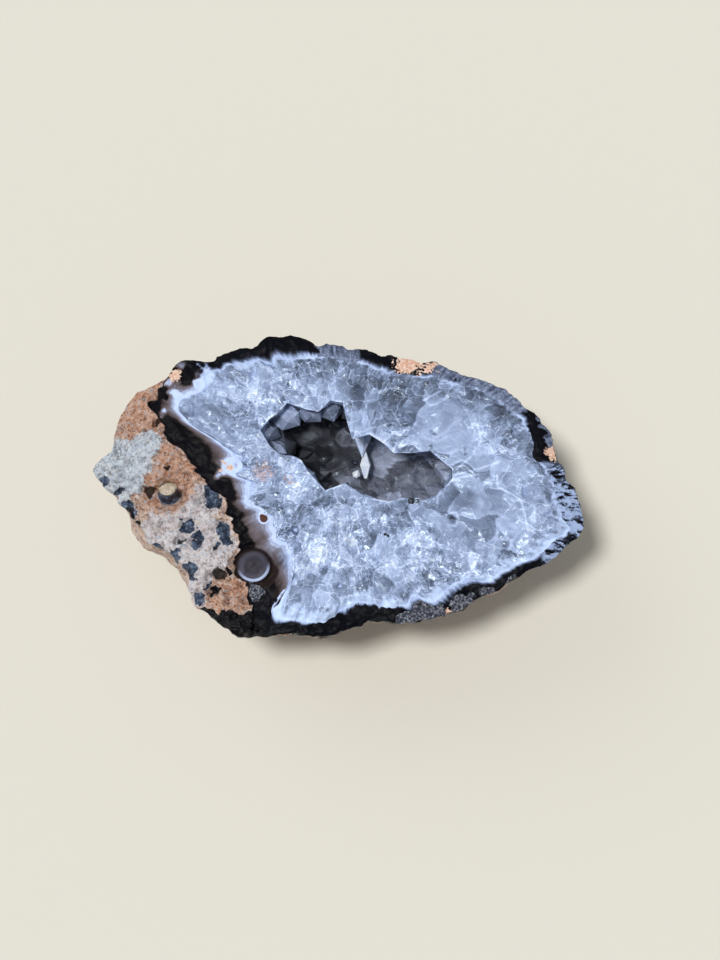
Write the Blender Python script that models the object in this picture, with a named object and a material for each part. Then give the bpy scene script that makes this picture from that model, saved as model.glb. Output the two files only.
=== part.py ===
"""Half of a broken quartz geode, lying on its rounded back with the broken face up.

Four bodies of different mineral, one inside the next, as they grew:
  host_rock      rust and tan rock, thick on the left of the face and a thin rind everywhere else
  agate_shell    dark chalcedony that lines the rock and shows as a band on the face
  quartz_lining  milky massive quartz with the hollow in it
  crystal_crust  pointed quartz crystals on the hollow's wall, grown together

Metres, +Z up. The origin is under the middle of the bounding box, at the resting patch.
"""

import functools
import math
import random

import bmesh
import bpy
from mathutils import Matrix, Vector

MM = 0.001

# Driving dimensions
FACE = 31.0 * MM  # height of the broken face above the resting patch
ROCK_BELOW = 3.2 * MM  # rock under the nodule
AGATE_BELOW = 3.6 * MM  # agate under the quartz
HOLLOW_DEPTH = 17.5 * MM
GAP = 0.3 * MM  # between one body and the next
RIND = 1.6 * MM  # the rock where it is only a thin skin
RIND_TOP = 3.2 * MM  # how far below the face that skin ends
LEFT_DROP = 4.0 * MM  # the worn left corner lies this much below the face
CRUST_WALL = 1.4 * MM
CRYSTALS_ABOVE = 0.9 * MM  # how far the mouth's crystals stand above the face
LEAN = 0.26  # a point below the face lies back by this share of its depth
WIDEST_STEP = math.radians(6.5)  # between two corners of a ring
HOLLOW_SIDES = 36
BUMP_REACH = 5  # neighbours on each side over which a bump fades out down the bowl

# Outlines on the face in millimetres, anticlockwise from +X, from the face's middle
STONE_EDGE = [
    (46.5, 1.5), (44.5, 6.5), (44, 10.5), (42, 14), (38.5, 17.5), (35, 21.5), (31.5, 22.5),
    (27, 24.5), (22.5, 26), (19.5, 27.5), (17, 27), (12, 28.5), (9, 29), (5, 30.5), (0.5, 30.5),
    (-2.5, 31.5), (-5.5, 31), (-6.5, 32.6), (-11, 33.2), (-16, 32.8), (-17.5, 31.2), (-22.5, 29.5),
    (-26.5, 28), (-29.5, 27.5), (-32.5, 28.5), (-34.5, 27.5), (-35, 25.5), (-40.5, 22), (-43.8, 19.2),
    (-46, 15.5), (-46.8, 11), (-48, 8), (-50, 6), (-51, 4), (-49.5, 1), (-45.5, -2.5), (-43, -6),
    (-40, -9), (-39, -11.5), (-34, -14), (-31, -18), (-30.5, -21), (-29.5, -25), (-25, -28),
    (-20.5, -31.5), (-14, -31), (-8.5, -31), (-2.5, -31.5), (5, -28.5), (9, -28), (13.5, -28.5),
    (20, -27.5), (25, -25.5), (29.5, -23), (33, -21.5), (35, -19), (38.5, -18), (43, -15),
    (47.5, -11.5), (50, -9), (50, -6.5), (48.5, -2),
]
NODULE_EDGE_LEFT = [
    (-34, 25), (-34, 23), (-38, 22.5), (-38, 20), (-39.5, 17.5), (-37.5, 15.5), (-36, 13),
    (-35.5, 10), (-33.5, 9), (-31.5, 8), (-31.5, 6.5), (-29.5, 4), (-28, 1), (-24, -2),
    (-22.5, -6), (-20.5, -9.5), (-20.5, -13.5), (-22, -16.5), (-19, -20.5), (-17.5, -24),
    (-17.5, -27), (-17, -29.5),
]
QUARTZ_EDGE = [
    (43, 1), (41, 5), (39.5, 8), (38.5, 12), (37, 15), (34, 18), (31, 20), (27, 22), (21, 23.8),
    (15, 24), (9.5, 25), (5, 27), (0, 27.5), (-5, 28), (-11, 28.5), (-15, 27), (-20, 27),
    (-25, 25.5), (-27.5, 24.5), (-29, 21.5), (-31.5, 19.5), (-33, 17), (-32.5, 15), (-29, 12.5),
    (-25, 10), (-21.5, 7), (-20, 4.5), (-18, 1), (-17, -3.5), (-14, -6), (-13.5, -8.5), (-11, -12.5),
    (-9.5, -16.5), (-10, -21), (-14, -25), (-13, -27.5), (-9, -28.2), (-3.5, -28.5), (0.5, -25.5),
    (5, -24.5), (10, -25), (15, -23), (21, -23), (24, -20), (29, -19.8), (34, -17), (38, -15.5),
    (43, -12.5), (46, -9), (45.5, -5.5), (44.5, -2.5),
]
HOLLOW_EDGE = [
    (28.5, 3.5), (27, 9), (22, 14), (15.5, 17), (9, 19.5), (3, 22.5), (-4, 24), (-10, 23.8),
    (-15.5, 22), (-18.5, 17.5), (-19.5, 12.5), (-17.5, 7.5), (-13.5, 3), (-9.5, -1), (-5.5, -4.8), (0, -7),
    (6.5, -8), (13, -8.5), (19.5, -8), (25.5, -4),
]
MOUTH_EDGE = [
    (23, 4), (18.5, 8), (15, 7.5), (11, 7.5), (9, 9.5), (6, 11.5), (2.5, 10.5), (1.5, 14),
    (0.5, 18.5), (-2, 19), (-4.5, 16.5), (-7, 17), (-11, 18.5), (-13, 16), (-14.5, 15),
    (-16.5, 12.5), (-14.5, 9), (-12, 7), (-10, 7), (-8, 6), (-6.5, 3.5), (-3, -0.5), (1, 1),
    (5.5, -2), (10, -3), (12.5, -2.2), (16, -2.2), (17.5, -3.5), (20.5, -1), (23, 2),
]
NODULE_MIDDLE = (6.0, 0.0)
HOLLOW_MIDDLE = (3.0, 6.5)

# How far down each bowl its rings lie, as shares of its depth. Both faces of a joint use the same ones.
NODULE_LEVELS = (0.13, 0.35, 0.6, 0.82, 0.96)
QUARTZ_LEVELS = (0.35, 0.68, 0.92)
HOLLOW_LEVELS = (0.35, 0.7, 0.94)

# Small forms on the face in millimetres: (x, y, radius)
KNOB = (-35.5, -0.8, 2.9)  # a small agate nodule standing in its pit in the rock
EYE = (-17.2, -16.8, 3.9)  # a round eye of agate
FACE_CRYSTALS = [  # crystals broken across that stand a little above the quartz: (x, y, radius, turn)
    (35.0, 3.0, 4.6, 0.6), (33.5, 10.8, 3.4, 0.9), (39.5, -4.6, 3.0, 0.1), (31.0, -5.6, 3.8, 0.4),
    (27.5, -14.0, 4.2, 0.3), (14.0, -15.8, 3.6, 0.7), (0.0, -15.8, 4.2, 0.5), (-7.8, -9.6, 2.6, 0.9),
    (-26.6, 16.8, 3.2, 0.4),
]
PITS = [(-40.3, -0.4, 1.7), (-26.0, -12.5, 2.4), (-24.3, -23.6, 1.5), (-38.0, 14.5, 1.3), (-41.5, 8.8, 1.2)]


def smooth(x):
    """0 to 1 with a flat start and end."""
    x = min(1.0, max(0.0, x))
    return x * x * (3 - 2 * x)


def mix(a, b, t):
    return a + (b - a) * t


def stations():
    """The angles at which the rings have corners: one for each corner of the stone's edge, and more where they are far
    apart."""
    angles = sorted(math.atan2(y, x) % math.tau for x, y in STONE_EDGE)
    made = []
    for here, after in zip(angles, [*angles[1:], angles[0] + math.tau]):
        steps = math.ceil((after - here) / WIDEST_STEP)
        made += [(here + (after - here) * n / steps) for n in range(steps) if after > here]
    return made


STATIONS = stations()
SIDES = len(STATIONS)


def around(points, middle, angles=STATIONS):
    """A closed outline in millimetres as one point in metres for each angle about middle.
    Where the outline turns back on itself its corners' angles are held in order, so that they keep their places."""
    centre = Vector(middle)
    turns = []
    for point in points:
        turn = math.atan2(*(Vector(point) - centre).yx)
        if turns:
            turn = max(turns[-1] + math.radians(0.6), turn + math.tau * round((turns[-1] - turn) / math.tau))
        turns.append(turn)
    turns.append(turns[0] + math.tau)
    corners = [Vector(point) for point in points] + [Vector(points[0])]
    ring = []
    for angle in angles:
        while angle < turns[0]:
            angle += math.tau
        while angle >= turns[-1]:
            angle -= math.tau
        i = max(j for j in range(len(points)) if turns[j] <= angle)
        ring.append(corners[i].lerp(corners[i + 1], (angle - turns[i]) / (turns[i + 1] - turns[i])) * MM)
    return ring


def grown(ring, middle, by):
    """Each point of the ring moved straight away from middle by a length."""
    centre = Vector(middle) * MM
    return [p + (p - centre).normalized() * by for p in ring]


def softened(ring, reach):
    """The ring with its small bumps evened out, each point the mean of its neighbours."""
    near = range(-reach, reach + 1)
    return [sum((ring[(k + n) % len(ring)] for n in near), Vector((0, 0))) / len(near) for k in range(len(ring))]


def bowl_point(point, middle, depth, full, power=0.5):
    """Where the bowl under a rim point is at a depth: an ellipse's quarter, rounder for a lower power."""
    centre = Vector(middle) * MM
    share = max(0.0, 1 - (depth / full) ** 2) ** power
    return centre + (point - centre) * share


@functools.cache
def wave_set(seed):
    """Eight waves drawn from the seed: a direction, a length near 1 and a start."""
    rng = random.Random(seed)
    made = []
    for _ in range(8):
        along = Vector((rng.gauss(0, 1), rng.gauss(0, 1), rng.gauss(0, 1))).normalized()
        made.append((along, rng.uniform(0.7, 1.4), rng.random()))
    return made


def waves(p, size, seed):
    """A smooth unevenness, mostly between -1 and 1, whose bumps are about half of size across."""
    place = Vector(p) / size
    return sum(math.sin(math.tau * (along.dot(place) / length + start)) for along, length, start in wave_set(seed)) / 3


def material(name, colour, roughness_value, alpha=1.0):
    made = bpy.data.materials.new(name)
    made.use_nodes = True
    shader = made.node_tree.nodes["Principled BSDF"]
    shader.inputs["Base Color"].default_value = (*colour, 1)
    shader.inputs["Roughness"].default_value = roughness_value
    shader.inputs["Alpha"].default_value = alpha
    made.diffuse_color = (*colour, alpha)
    return made


def add_object(name, bm, finish=None):
    """A mesh object made from bm, its faces pointing out, flat shaded as broken stone and crystal are."""
    bmesh.ops.recalc_face_normals(bm, faces=bm.faces)
    mesh = bpy.data.meshes.new(name)
    bm.to_mesh(mesh)
    bm.free()
    made = bpy.data.objects.new(name, mesh)
    bpy.context.scene.collection.objects.link(made)
    if finish:
        mesh.materials.append(finish)
    return made


def cutter(name, bm):
    made = add_object(name, bm)
    made.hide_render = True
    made.display_type = "WIRE"
    return made


def loft(rings, first_cap, last_cap):
    """One closed skin over rings of points. A cap is a point that closes an end with a fan, or None for a flat face."""
    bm = bmesh.new()
    loops = [[bm.verts.new(p) for p in ring] for ring in rings]
    for near, far in zip(loops, loops[1:]):
        for k in range(len(near)):
            n = (k + 1) % len(near)
            bm.faces.new((near[k], near[n], far[n], far[k]))
    for loop, cap in ((loops[0], first_cap), (loops[-1], last_cap)):
        if cap is None:
            bm.faces.new(loop)
            continue
        tip = bm.verts.new(cap)
        for k in range(len(loop)):
            bm.faces.new((loop[k], loop[(k + 1) % len(loop)], tip))
    bmesh.ops.triangulate(bm, faces=bm.faces)
    return bm


def boolean(target, operation, other, overlaps_itself=False):
    step = target.modifiers.new(other.name, "BOOLEAN")
    step.operation = operation
    step.solver = "EXACT"
    step.object = other
    step.use_self = overlaps_itself


def bowl(rim, middle, full, levels, power=0.5, reach=BUMP_REACH):
    """The bowl's rings under a rim, one for each level. Low down they no longer follow the rim's small bumps."""
    soft = softened(rim, reach)
    rings = []
    for level in levels:
        blend = [mix(near, even, smooth(1.6 * level - 0.21)) for near, even in zip(rim, soft)]
        rings.append([
            Vector((*bowl_point(p, middle, full * level, full, power), FACE - full * level)) for p in blend
        ])
    return rings


def under(middle, depth):
    """The lowest point of a bowl."""
    return Vector((middle[0] * MM, middle[1] * MM, FACE - depth))


def keep_one_body(made):
    """Applies the object's booleans and keeps its largest closed skin, so that no chip or sealed pocket is left."""
    graph = bpy.context.evaluated_depsgraph_get()
    bm = bmesh.new()
    bm.from_mesh(made.evaluated_get(graph).to_mesh())
    made.modifiers.clear()
    unseen = set(bm.verts)
    skins = []
    while unseen:
        skin, edge = set(), [next(iter(unseen))]
        while edge:
            vertex = edge.pop()
            if vertex in skin:
                continue
            skin.add(vertex)
            edge += [e.other_vert(vertex) for e in vertex.link_edges]
        unseen -= skin
        skins.append(skin)
    largest = max(skins, key=len)
    bmesh.ops.delete(bm, geom=[v for v in bm.verts if v not in largest], context="VERTS")
    bmesh.ops.triangulate(bm, faces=bm.faces)
    bm.to_mesh(made.data)
    bm.free()


def add_crystal(bm, root, direction, radius, length, turn, lean, prism=0.62):
    """A six-sided quartz prism, slightly tapered, with a pointed end whose tip stands a little off its middle.
    The prism is that share of its length, the pointed end the rest."""
    prism *= length
    made = bmesh.ops.create_cone(
        bm, cap_ends=True, segments=6, radius1=radius, radius2=radius * 0.9, depth=prism
    )["verts"]
    top = next(f for f in made[-1].link_faces if len(f.verts) == 6 and f.normal.z > 0.9)
    tip = bmesh.ops.poke(bm, faces=[top], offset=length - prism)["verts"][0]
    tip.co += Vector((lean[0], lean[1], 0)) * radius
    along = direction.normalized().to_track_quat("Z", "Y").to_matrix().to_4x4()
    place = Matrix.Translation(root) @ along @ Matrix.Rotation(turn, 4, "Z") @ Matrix.Translation((0, 0, prism / 2))
    bmesh.ops.transform(bm, matrix=place, verts=[*made, tip])


# The rings that every body is cut from
stone_rim = around(STONE_EDGE, (0, 0))
quartz_rim = around(QUARTZ_EDGE, (0, 0))
hollow_rim = around(HOLLOW_EDGE, (0, 0))
NODULE_DEPTH = FACE - ROCK_BELOW
QUARTZ_DEPTH = NODULE_DEPTH - AGATE_BELOW


def nodule_rings():
    """The nodule's edge under the thin rind, and for each point how much of the thick rock shows there, 0 to 1."""
    thin = grown(stone_rim, (0, 0), -RIND)
    left = around(NODULE_EDGE_LEFT, (0, 0))
    low, high = (math.atan2(y, x) % math.tau for x, y in (NODULE_EDGE_LEFT[0], NODULE_EDGE_LEFT[-1]))
    edge, thick = [], []
    for k, angle in enumerate(STATIONS):
        point = left[k] if low < angle < high and left[k].length < thin[k].length else thin[k]
        edge.append(point)
        thick.append(smooth(((stone_rim[k] - point).length - RIND - 0.4 * MM) / (2.5 * MM)))
    return edge, thick


nodule_rim, rock_shows = nodule_rings()


def lip(k):
    """How far the agate reaches out over the thin rind: fully where no thick rock is near."""
    near = max(rock_shows[(k + n) % SIDES] for n in (-1, 0, 1))
    return (stone_rim[k] - nodule_rim[k]) * max(0.0, 1 - 12 * near)


def rind_top(k):
    """How far below the face the rock's upper edge lies."""
    return RIND_TOP * (1 - rock_shows[k])


def left_drop(k):
    """How far the worn outer edge of the rock lies below its inner one."""
    return LEFT_DROP * rock_shows[k] * smooth(1 - abs(STATIONS[k] - math.radians(178)) / math.radians(55))


def host_rock(finish):
    """Rings from the bowl that holds the nodule, up its inside, over the broken top and down the outside to the rest."""
    inner = grown(nodule_rim, NODULE_MIDDLE, GAP)
    deep = NODULE_DEPTH + GAP
    rings = bowl(inner, NODULE_MIDDLE, deep, reversed(NODULE_LEVELS))
    for across in (0.0, 0.3, 0.66, 1.0):
        ring = []
        for k in range(SIDES):
            start = bowl_point(inner[k], NODULE_MIDDLE, rind_top(k), deep)
            p = mix(start, stone_rim[k], across)
            z = FACE - rind_top(k) - left_drop(k) * across**1.6
            relief = waves((*p, 0), 11 * MM, 1) * 0.8 + waves((*p, 0), 5 * MM, 2) * 0.4
            z += relief * MM * rock_shows[k] * smooth(across * 6)
            ring.append(Vector((*p, z)))
        rings.append(ring)
    top = rings[-1]
    soft = softened([p.xy for p in top], BUMP_REACH)
    for share in (0.09, 0.24, 0.42, 0.6, 0.78, 0.92, 1.0):
        ring = []
        for k in range(SIDES):
            edge = mix(top[k].xy, soft[k], smooth(1.6 * share - 0.1))
            p = edge * mix(0.36, 1, max(0.0, 1 - share**2) ** 0.55)
            z = top[k].z * (1 - share)
            outward = Vector((*p.normalized(), 0.35 - share)).normalized()
            grip = smooth(share / 0.4) * smooth((1 - share) / 0.25)
            lump = waves((*p, z), 26 * MM, 3) * 1.5 + waves((*p, z), 12 * MM, 4) * 0.8
            ring.append(Vector((*p, z)) + outward * (lump + 0.3) * MM * grip)
        rings.append(ring)
    for point in rings[-1]:
        point.z = 0.0
    rock = add_object("host_rock", loft(rings, under(NODULE_MIDDLE, deep), None), finish)
    for n, (x, y, radius) in enumerate([(*KNOB[:2], KNOB[2] * 1.35), *PITS]):
        boolean(rock, "DIFFERENCE", pit_cutter(n, x, y, radius))
    boolean(rock, "UNION", knob())
    keep_one_body(rock)
    return rock


def face_height(x, y):
    """The height of the rock's broken top near a point in millimetres, from its outline's drop."""
    turn = math.atan2(y, x) % math.tau
    k = min(range(SIDES), key=lambda n: abs(STATIONS[n] - turn))
    inner, outer = nodule_rim[k].length, stone_rim[k].length
    across = min(1.0, max(0.0, (Vector((x, y)).length * MM - inner) / (outer - inner)))
    return FACE - left_drop(k) * across**1.6


def pit_cutter(n, x, y, radius):
    """A shallow ball-shaped pit. Its ball is turned so that no two pits show the same corners."""
    bm = bmesh.new()
    bmesh.ops.create_icosphere(bm, subdivisions=2, radius=radius * MM)
    bmesh.ops.transform(bm, matrix=Matrix.Rotation(0.9 * n, 4, (0.3, 0.5, 1)), verts=bm.verts)
    bmesh.ops.translate(bm, vec=(x * MM, y * MM, face_height(x, y) + 0.25 * radius * MM), verts=bm.verts)
    return cutter(f"pit_{n}", bm)


def knob():
    """A short post with a hexagonal top, standing in its pit."""
    x, y, radius = KNOB
    bm = bmesh.new()
    top = Matrix.Translation((x * MM, y * MM, face_height(x, y) - 0.6 * MM))
    bmesh.ops.create_cone(
        bm, cap_ends=True, segments=7, radius1=radius * 1.05 * MM, radius2=radius * 0.8 * MM,
        depth=6.0 * MM, matrix=top,
    )
    return cutter("knob", bm)


def agate_shell(finish):
    """Rings from the quartz's bowl up its inside, over the band on the face and down the outside."""
    lining = grown(quartz_rim, NODULE_MIDDLE, GAP)
    rings = bowl(lining, NODULE_MIDDLE, QUARTZ_DEPTH + GAP, reversed(QUARTZ_LEVELS))
    for across in (0.0, 0.5, 1.0):
        ring = []
        for k in range(SIDES):
            p = mix(lining[k], nodule_rim[k] + lip(k), across)
            z = FACE + (0.3 * waves((*p, 0), 14 * MM, 5) - 0.5 * across**3) * MM
            ring.append(Vector((*p, z)))
        rings.append(ring)
    for depth, reach in ((1.2 * MM, 0.95), (2.4 * MM, 0.25)):
        walls = [bowl_point(p, NODULE_MIDDLE, depth, NODULE_DEPTH) for p in nodule_rim]
        rings.append([Vector((*(walls[k] + lip(k) * reach), FACE - depth)) for k in range(SIDES)])
    rings += bowl(nodule_rim, NODULE_MIDDLE, NODULE_DEPTH, NODULE_LEVELS)
    inside = under(NODULE_MIDDLE, QUARTZ_DEPTH + GAP)
    shell = add_object("agate_shell", loft(rings, inside, under(NODULE_MIDDLE, NODULE_DEPTH)), finish)
    boolean(shell, "UNION", eye())
    keep_one_body(shell)
    return shell


def eye():
    """The round eye of agate: the low top of a ball, set into the band."""
    x, y, radius = EYE
    bm = bmesh.new()
    bmesh.ops.create_uvsphere(bm, u_segments=14, v_segments=7, radius=radius * MM)
    bmesh.ops.scale(bm, vec=(1, 1, 0.38), verts=bm.verts)
    bmesh.ops.translate(bm, vec=(x * MM, y * MM, FACE - 0.45 * MM), verts=bm.verts)
    return cutter("eye", bm)


def quartz_lining(finish):
    """Rings from the hollow's floor up its wall, over the broken face and down the outside."""
    rng = random.Random(5)
    rings = bowl(hollow_rim, HOLLOW_MIDDLE, HOLLOW_DEPTH, reversed(HOLLOW_LEVELS), 0.4, 0)
    for across in (0.0, 0.2, 0.45, 0.72, 1.0):
        ring = []
        for k in range(SIDES):
            p = mix(hollow_rim[k], quartz_rim[k], across)
            inside = 0 < across < 1
            chip = rng.uniform(-0.9, 0.6) if inside else -0.1
            room = min(0.25 * (quartz_rim[k] - hollow_rim[k]).length, 2.5 * MM) * 0.3 * inside
            shift = Vector((rng.uniform(-room, room), rng.uniform(-room, room)))
            ring.append(Vector((*(p + shift), FACE + chip * MM)))
        rings.append(ring)
    rings += bowl(quartz_rim, NODULE_MIDDLE, QUARTZ_DEPTH, QUARTZ_LEVELS)
    floor = under(HOLLOW_MIDDLE, HOLLOW_DEPTH)
    quartz = add_object("quartz_lining", loft(rings, floor, under(NODULE_MIDDLE, QUARTZ_DEPTH)), finish)
    ends = bmesh.new()
    for x, y, radius, turn in FACE_CRYSTALS:
        outward = Vector((x - HOLLOW_MIDDLE[0], y - HOLLOW_MIDDLE[1])).normalized()
        along = Vector((*(-rng.uniform(0.7, 1.3) * outward), 1)).normalized()
        root = Vector((x * MM, y * MM, FACE - 1.1 * radius * MM))
        lean = (rng.uniform(-0.35, 0.35), rng.uniform(-0.35, 0.35))
        add_crystal(ends, root, along, radius * MM, 1.3 * radius * MM, turn, lean, prism=0.72)
    boolean(quartz, "UNION", cutter("crystal_ends", ends), overlaps_itself=True)
    keep_one_body(quartz)
    return quartz


def crystals():
    """Rows of crystals down the hollow's wall. The top row lies almost flat and its tips are the mouth's corners."""
    rng = random.Random(11)
    bm = bmesh.new()
    middle = Vector(HOLLOW_MIDDLE) * MM
    corners = [math.atan2(*(Vector(point) - Vector(HOLLOW_MIDDLE)).yx) for point in MOUTH_EDGE]
    roots = around(HOLLOW_EDGE, HOLLOW_MIDDLE, corners)
    for n, (root, point) in enumerate(zip(roots, MOUTH_EDGE)):
        reach = Vector(point) * MM - root
        gap = max((root - roots[n - 1]).length, (root - roots[(n + 1) % len(roots)]).length)
        radius = min(max(2.6 * MM, 0.66 * gap), 4.0 * MM)
        depth = rng.uniform(0.5, 0.75) * radius
        along = Vector((*reach, rng.uniform(-0.3, 0.6) * MM))
        lean = (rng.uniform(-0.3, 0.3), rng.uniform(-0.3, 0.3))
        start = Vector((*root, FACE - depth)) - along.normalized() * 0.5 * MM
        add_crystal(bm, start, along, radius, along.length + 0.5 * MM, rng.random(), lean, prism=0.74)
    rows = (  # share of the depth, how many, radius, length, upward aim
        (0.42, 13, (2.4, 3.4), (5.0, 8.0), 0.35),
        (0.72, 9, (2.6, 3.6), (5.5, 8.5), 0.9),
        (0.97, 6, (2.8, 3.8), (4.5, 7.5), 2.5),
    )
    for share, count, radii, lengths, aim in rows:
        turns = [math.tau * (n + rng.uniform(0.1, 0.9)) / count for n in range(count)]
        for rim in around(HOLLOW_EDGE, HOLLOW_MIDDLE, turns):
            depth = HOLLOW_DEPTH * (share + rng.uniform(-0.05, 0.02))
            foot = bowl_point(rim, HOLLOW_MIDDLE, depth, HOLLOW_DEPTH, 0.4)
            inward = (middle - foot).normalized()
            side = Vector((-inward.y, inward.x)) * rng.uniform(-0.3, 0.3)
            along = Vector((*(inward + side), aim + rng.uniform(-0.12, 0.12))).normalized()
            root = Vector((*foot, FACE - depth)) - along * 0.4 * MM
            lean = (rng.uniform(-0.25, 0.25), rng.uniform(-0.25, 0.25))
            add_crystal(bm, root, along, rng.uniform(*radii) * MM, rng.uniform(*lengths) * MM, rng.random(), lean)
    return cutter("crystals", bm)


def hollow_solid(inset, top, wider_top=0.0):
    """The hollow less a wall, closed at a height. With wider_top it also spreads out just above the crust's edge."""
    turns = [math.tau * n / HOLLOW_SIDES for n in range(HOLLOW_SIDES)]
    edge = around(HOLLOW_EDGE, HOLLOW_MIDDLE, turns)
    rim = grown(edge, HOLLOW_MIDDLE, -inset)
    rings = [[Vector((*p, top)) for p in rim]]
    if wider_top:
        wide = grown(edge, HOLLOW_MIDDLE, wider_top)
        rings = [[Vector((*p, z)) for p in wide] for z in (top, FACE - 0.1 * MM)]
        rings.append([Vector((*p, FACE - 0.2 * MM)) for p in rim])
    deep = HOLLOW_DEPTH - inset
    rings += bowl(rim, HOLLOW_MIDDLE, deep, HOLLOW_LEVELS, 0.4, 0)
    return loft(rings, None, under(HOLLOW_MIDDLE, deep))


def crystal_crust(finish):
    """A thin bowl of quartz with its crystals, which are broken off a little above the face. It is what is left of the
    hollow's space when the open air between the crystals is taken out."""
    air = cutter("air", hollow_solid(GAP + CRUST_WALL, FACE + 3 * MM, wider_top=2 * MM))
    boolean(air, "DIFFERENCE", crystals(), overlaps_itself=True)
    keep_one_body(air)
    crust = add_object("crystal_crust", hollow_solid(GAP, FACE + CRYSTALS_ABOVE), finish)
    boolean(crust, "DIFFERENCE", air)
    keep_one_body(crust)
    return crust


def lean_back():
    """Shears every mesh, so that the stone leans back below its face and its front wall is out of sight from above."""
    bpy.context.view_layer.update()
    shear = Matrix.Identity(4)
    shear[1][2] = -LEAN
    shear[1][3] = LEAN * FACE
    for made in bpy.data.objects:
        made.data.transform(made.matrix_world.inverted() @ shear @ made.matrix_world)


def rest_on_origin():
    """Moves everything so that the origin is under the middle of the bounding box, with the resting patch at z 0."""
    graph = bpy.context.evaluated_depsgraph_get()
    low = Vector((1, 1, 1))
    high = -low
    for made in bpy.data.objects:
        if made.hide_render:
            continue
        for vertex in made.evaluated_get(graph).data.vertices:
            low = Vector(map(min, low, vertex.co))
            high = Vector(map(max, high, vertex.co))
    holder = bpy.data.objects.new("geode_half", None)
    bpy.context.scene.collection.objects.link(holder)
    for made in bpy.data.objects:
        if made != holder:
            made.parent = holder
    holder.location = (-(low.x + high.x) / 2, -(low.y + high.y) / 2, -low.z)


def main():
    for old in list(bpy.data.objects):
        bpy.data.objects.remove(old)
    host_rock(material("host_rock", (0.50, 0.27, 0.17), 0.9))
    agate_shell(material("agate", (0.035, 0.032, 0.04), 0.3))
    quartz_lining(material("quartz", (0.66, 0.70, 0.82), 0.25))
    crystal_crust(material("crystal", (0.55, 0.58, 0.66), 0.08, alpha=0.75))
    lean_back()
    rest_on_origin()


main()
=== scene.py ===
# %% [markdown]
# # Half a geode, broken across and lying face up
#
# A geode is a nodule that grew inside a rock: agate coats the inside of a bubble, milky quartz fills most
# of the rest, and where room is left over, clear crystals point into the hollow. This one was broken, not
# sawn, so its face is rough and shows all four minerals in rings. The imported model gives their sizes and
# places, and this script dresses them.
#
# All lengths below are in millimetres, on axes through the middle of the stone's face, and become metres
# when a mesh is made.

import itertools
import math
import random

import bpy
import numpy as np
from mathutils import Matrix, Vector


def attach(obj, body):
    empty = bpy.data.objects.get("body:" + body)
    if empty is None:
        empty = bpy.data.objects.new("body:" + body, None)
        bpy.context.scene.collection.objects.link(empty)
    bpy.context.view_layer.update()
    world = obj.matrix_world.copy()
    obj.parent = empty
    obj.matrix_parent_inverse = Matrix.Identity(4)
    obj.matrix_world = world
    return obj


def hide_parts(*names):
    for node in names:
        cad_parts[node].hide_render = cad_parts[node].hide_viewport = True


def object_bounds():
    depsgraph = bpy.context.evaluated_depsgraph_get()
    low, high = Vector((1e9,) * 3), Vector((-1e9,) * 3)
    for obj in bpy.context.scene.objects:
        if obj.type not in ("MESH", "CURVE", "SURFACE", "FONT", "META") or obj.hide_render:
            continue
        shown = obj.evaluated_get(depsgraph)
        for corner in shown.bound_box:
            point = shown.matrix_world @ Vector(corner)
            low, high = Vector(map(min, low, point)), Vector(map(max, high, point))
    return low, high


MM = 0.001
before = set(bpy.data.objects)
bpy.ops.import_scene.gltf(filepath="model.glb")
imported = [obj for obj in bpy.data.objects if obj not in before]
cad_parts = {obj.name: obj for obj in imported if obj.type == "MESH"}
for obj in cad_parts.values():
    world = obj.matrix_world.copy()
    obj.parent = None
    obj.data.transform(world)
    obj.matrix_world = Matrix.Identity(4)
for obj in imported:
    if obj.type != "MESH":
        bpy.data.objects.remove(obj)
cad_low, cad_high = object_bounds()
cad_size = [round((high - low) / MM, 1) for low, high in zip(cad_low, cad_high)]
print("the packed model measures", cad_size, "mm")

# %% [markdown]
# ## The outlines of the four minerals
#
# On the face each mineral is a ring with an uneven border. A border could be drawn as a curve in Blender,
# but here it is a short list of corners that numpy turns into as many points as a mesh needs. Every ring
# then has its point number k in the same direction from the middle, so that a surface between two rings is
# a plain grid.

# %% Borders on the face, anticlockwise from the right
STONE_EDGE = [
    (46.5, 1.5), (44.5, 6.5), (44, 10.5), (42, 14), (38.5, 17.5), (35, 21.5), (31.5, 22.5),
    (27, 24.5), (22.5, 26), (19.5, 27.5), (17, 27), (12, 28.5), (9, 29), (5, 30.5), (0.5, 30.5),
    (-2.5, 31.5), (-5.5, 31), (-6.5, 32.6), (-11, 33.2), (-16, 32.8), (-17.5, 31.2), (-22.5, 29.5),
    (-26.5, 28), (-29.5, 27.5), (-32.5, 28.5), (-34.5, 27.5), (-35, 25.5), (-40.5, 22), (-43.8, 19.2),
    (-46, 15.5), (-46.8, 11), (-48, 8), (-50, 6), (-51, 4), (-49.5, 1), (-45.5, -2.5), (-43, -6),
    (-40, -9), (-39, -11.5), (-34, -14), (-31, -18), (-30.5, -21), (-29.5, -25), (-25, -28),
    (-20.5, -31.5), (-14, -31), (-8.5, -31), (-2.5, -31.5), (5, -28.5), (9, -28), (13.5, -28.5),
    (20, -27.5), (25, -25.5), (29.5, -23), (33, -21.5), (35, -19), (38.5, -18), (43, -15),
    (47.5, -11.5), (50, -9), (50, -6.5), (48.5, -2),
]
NODULE_EDGE_LEFT = [
    (-34, 25), (-34, 23), (-38, 22.5), (-38, 20), (-39.5, 17.5), (-37.5, 15.5), (-36, 13),
    (-35.5, 10), (-33.5, 9), (-31.5, 8), (-31.5, 6.5), (-29.5, 4), (-28, 1), (-24, -2),
    (-22.5, -6), (-20.5, -9.5), (-20.5, -13.5), (-22, -16.5), (-19, -20.5), (-17.5, -24),
    (-17.5, -27), (-17, -29.5),
]
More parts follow.
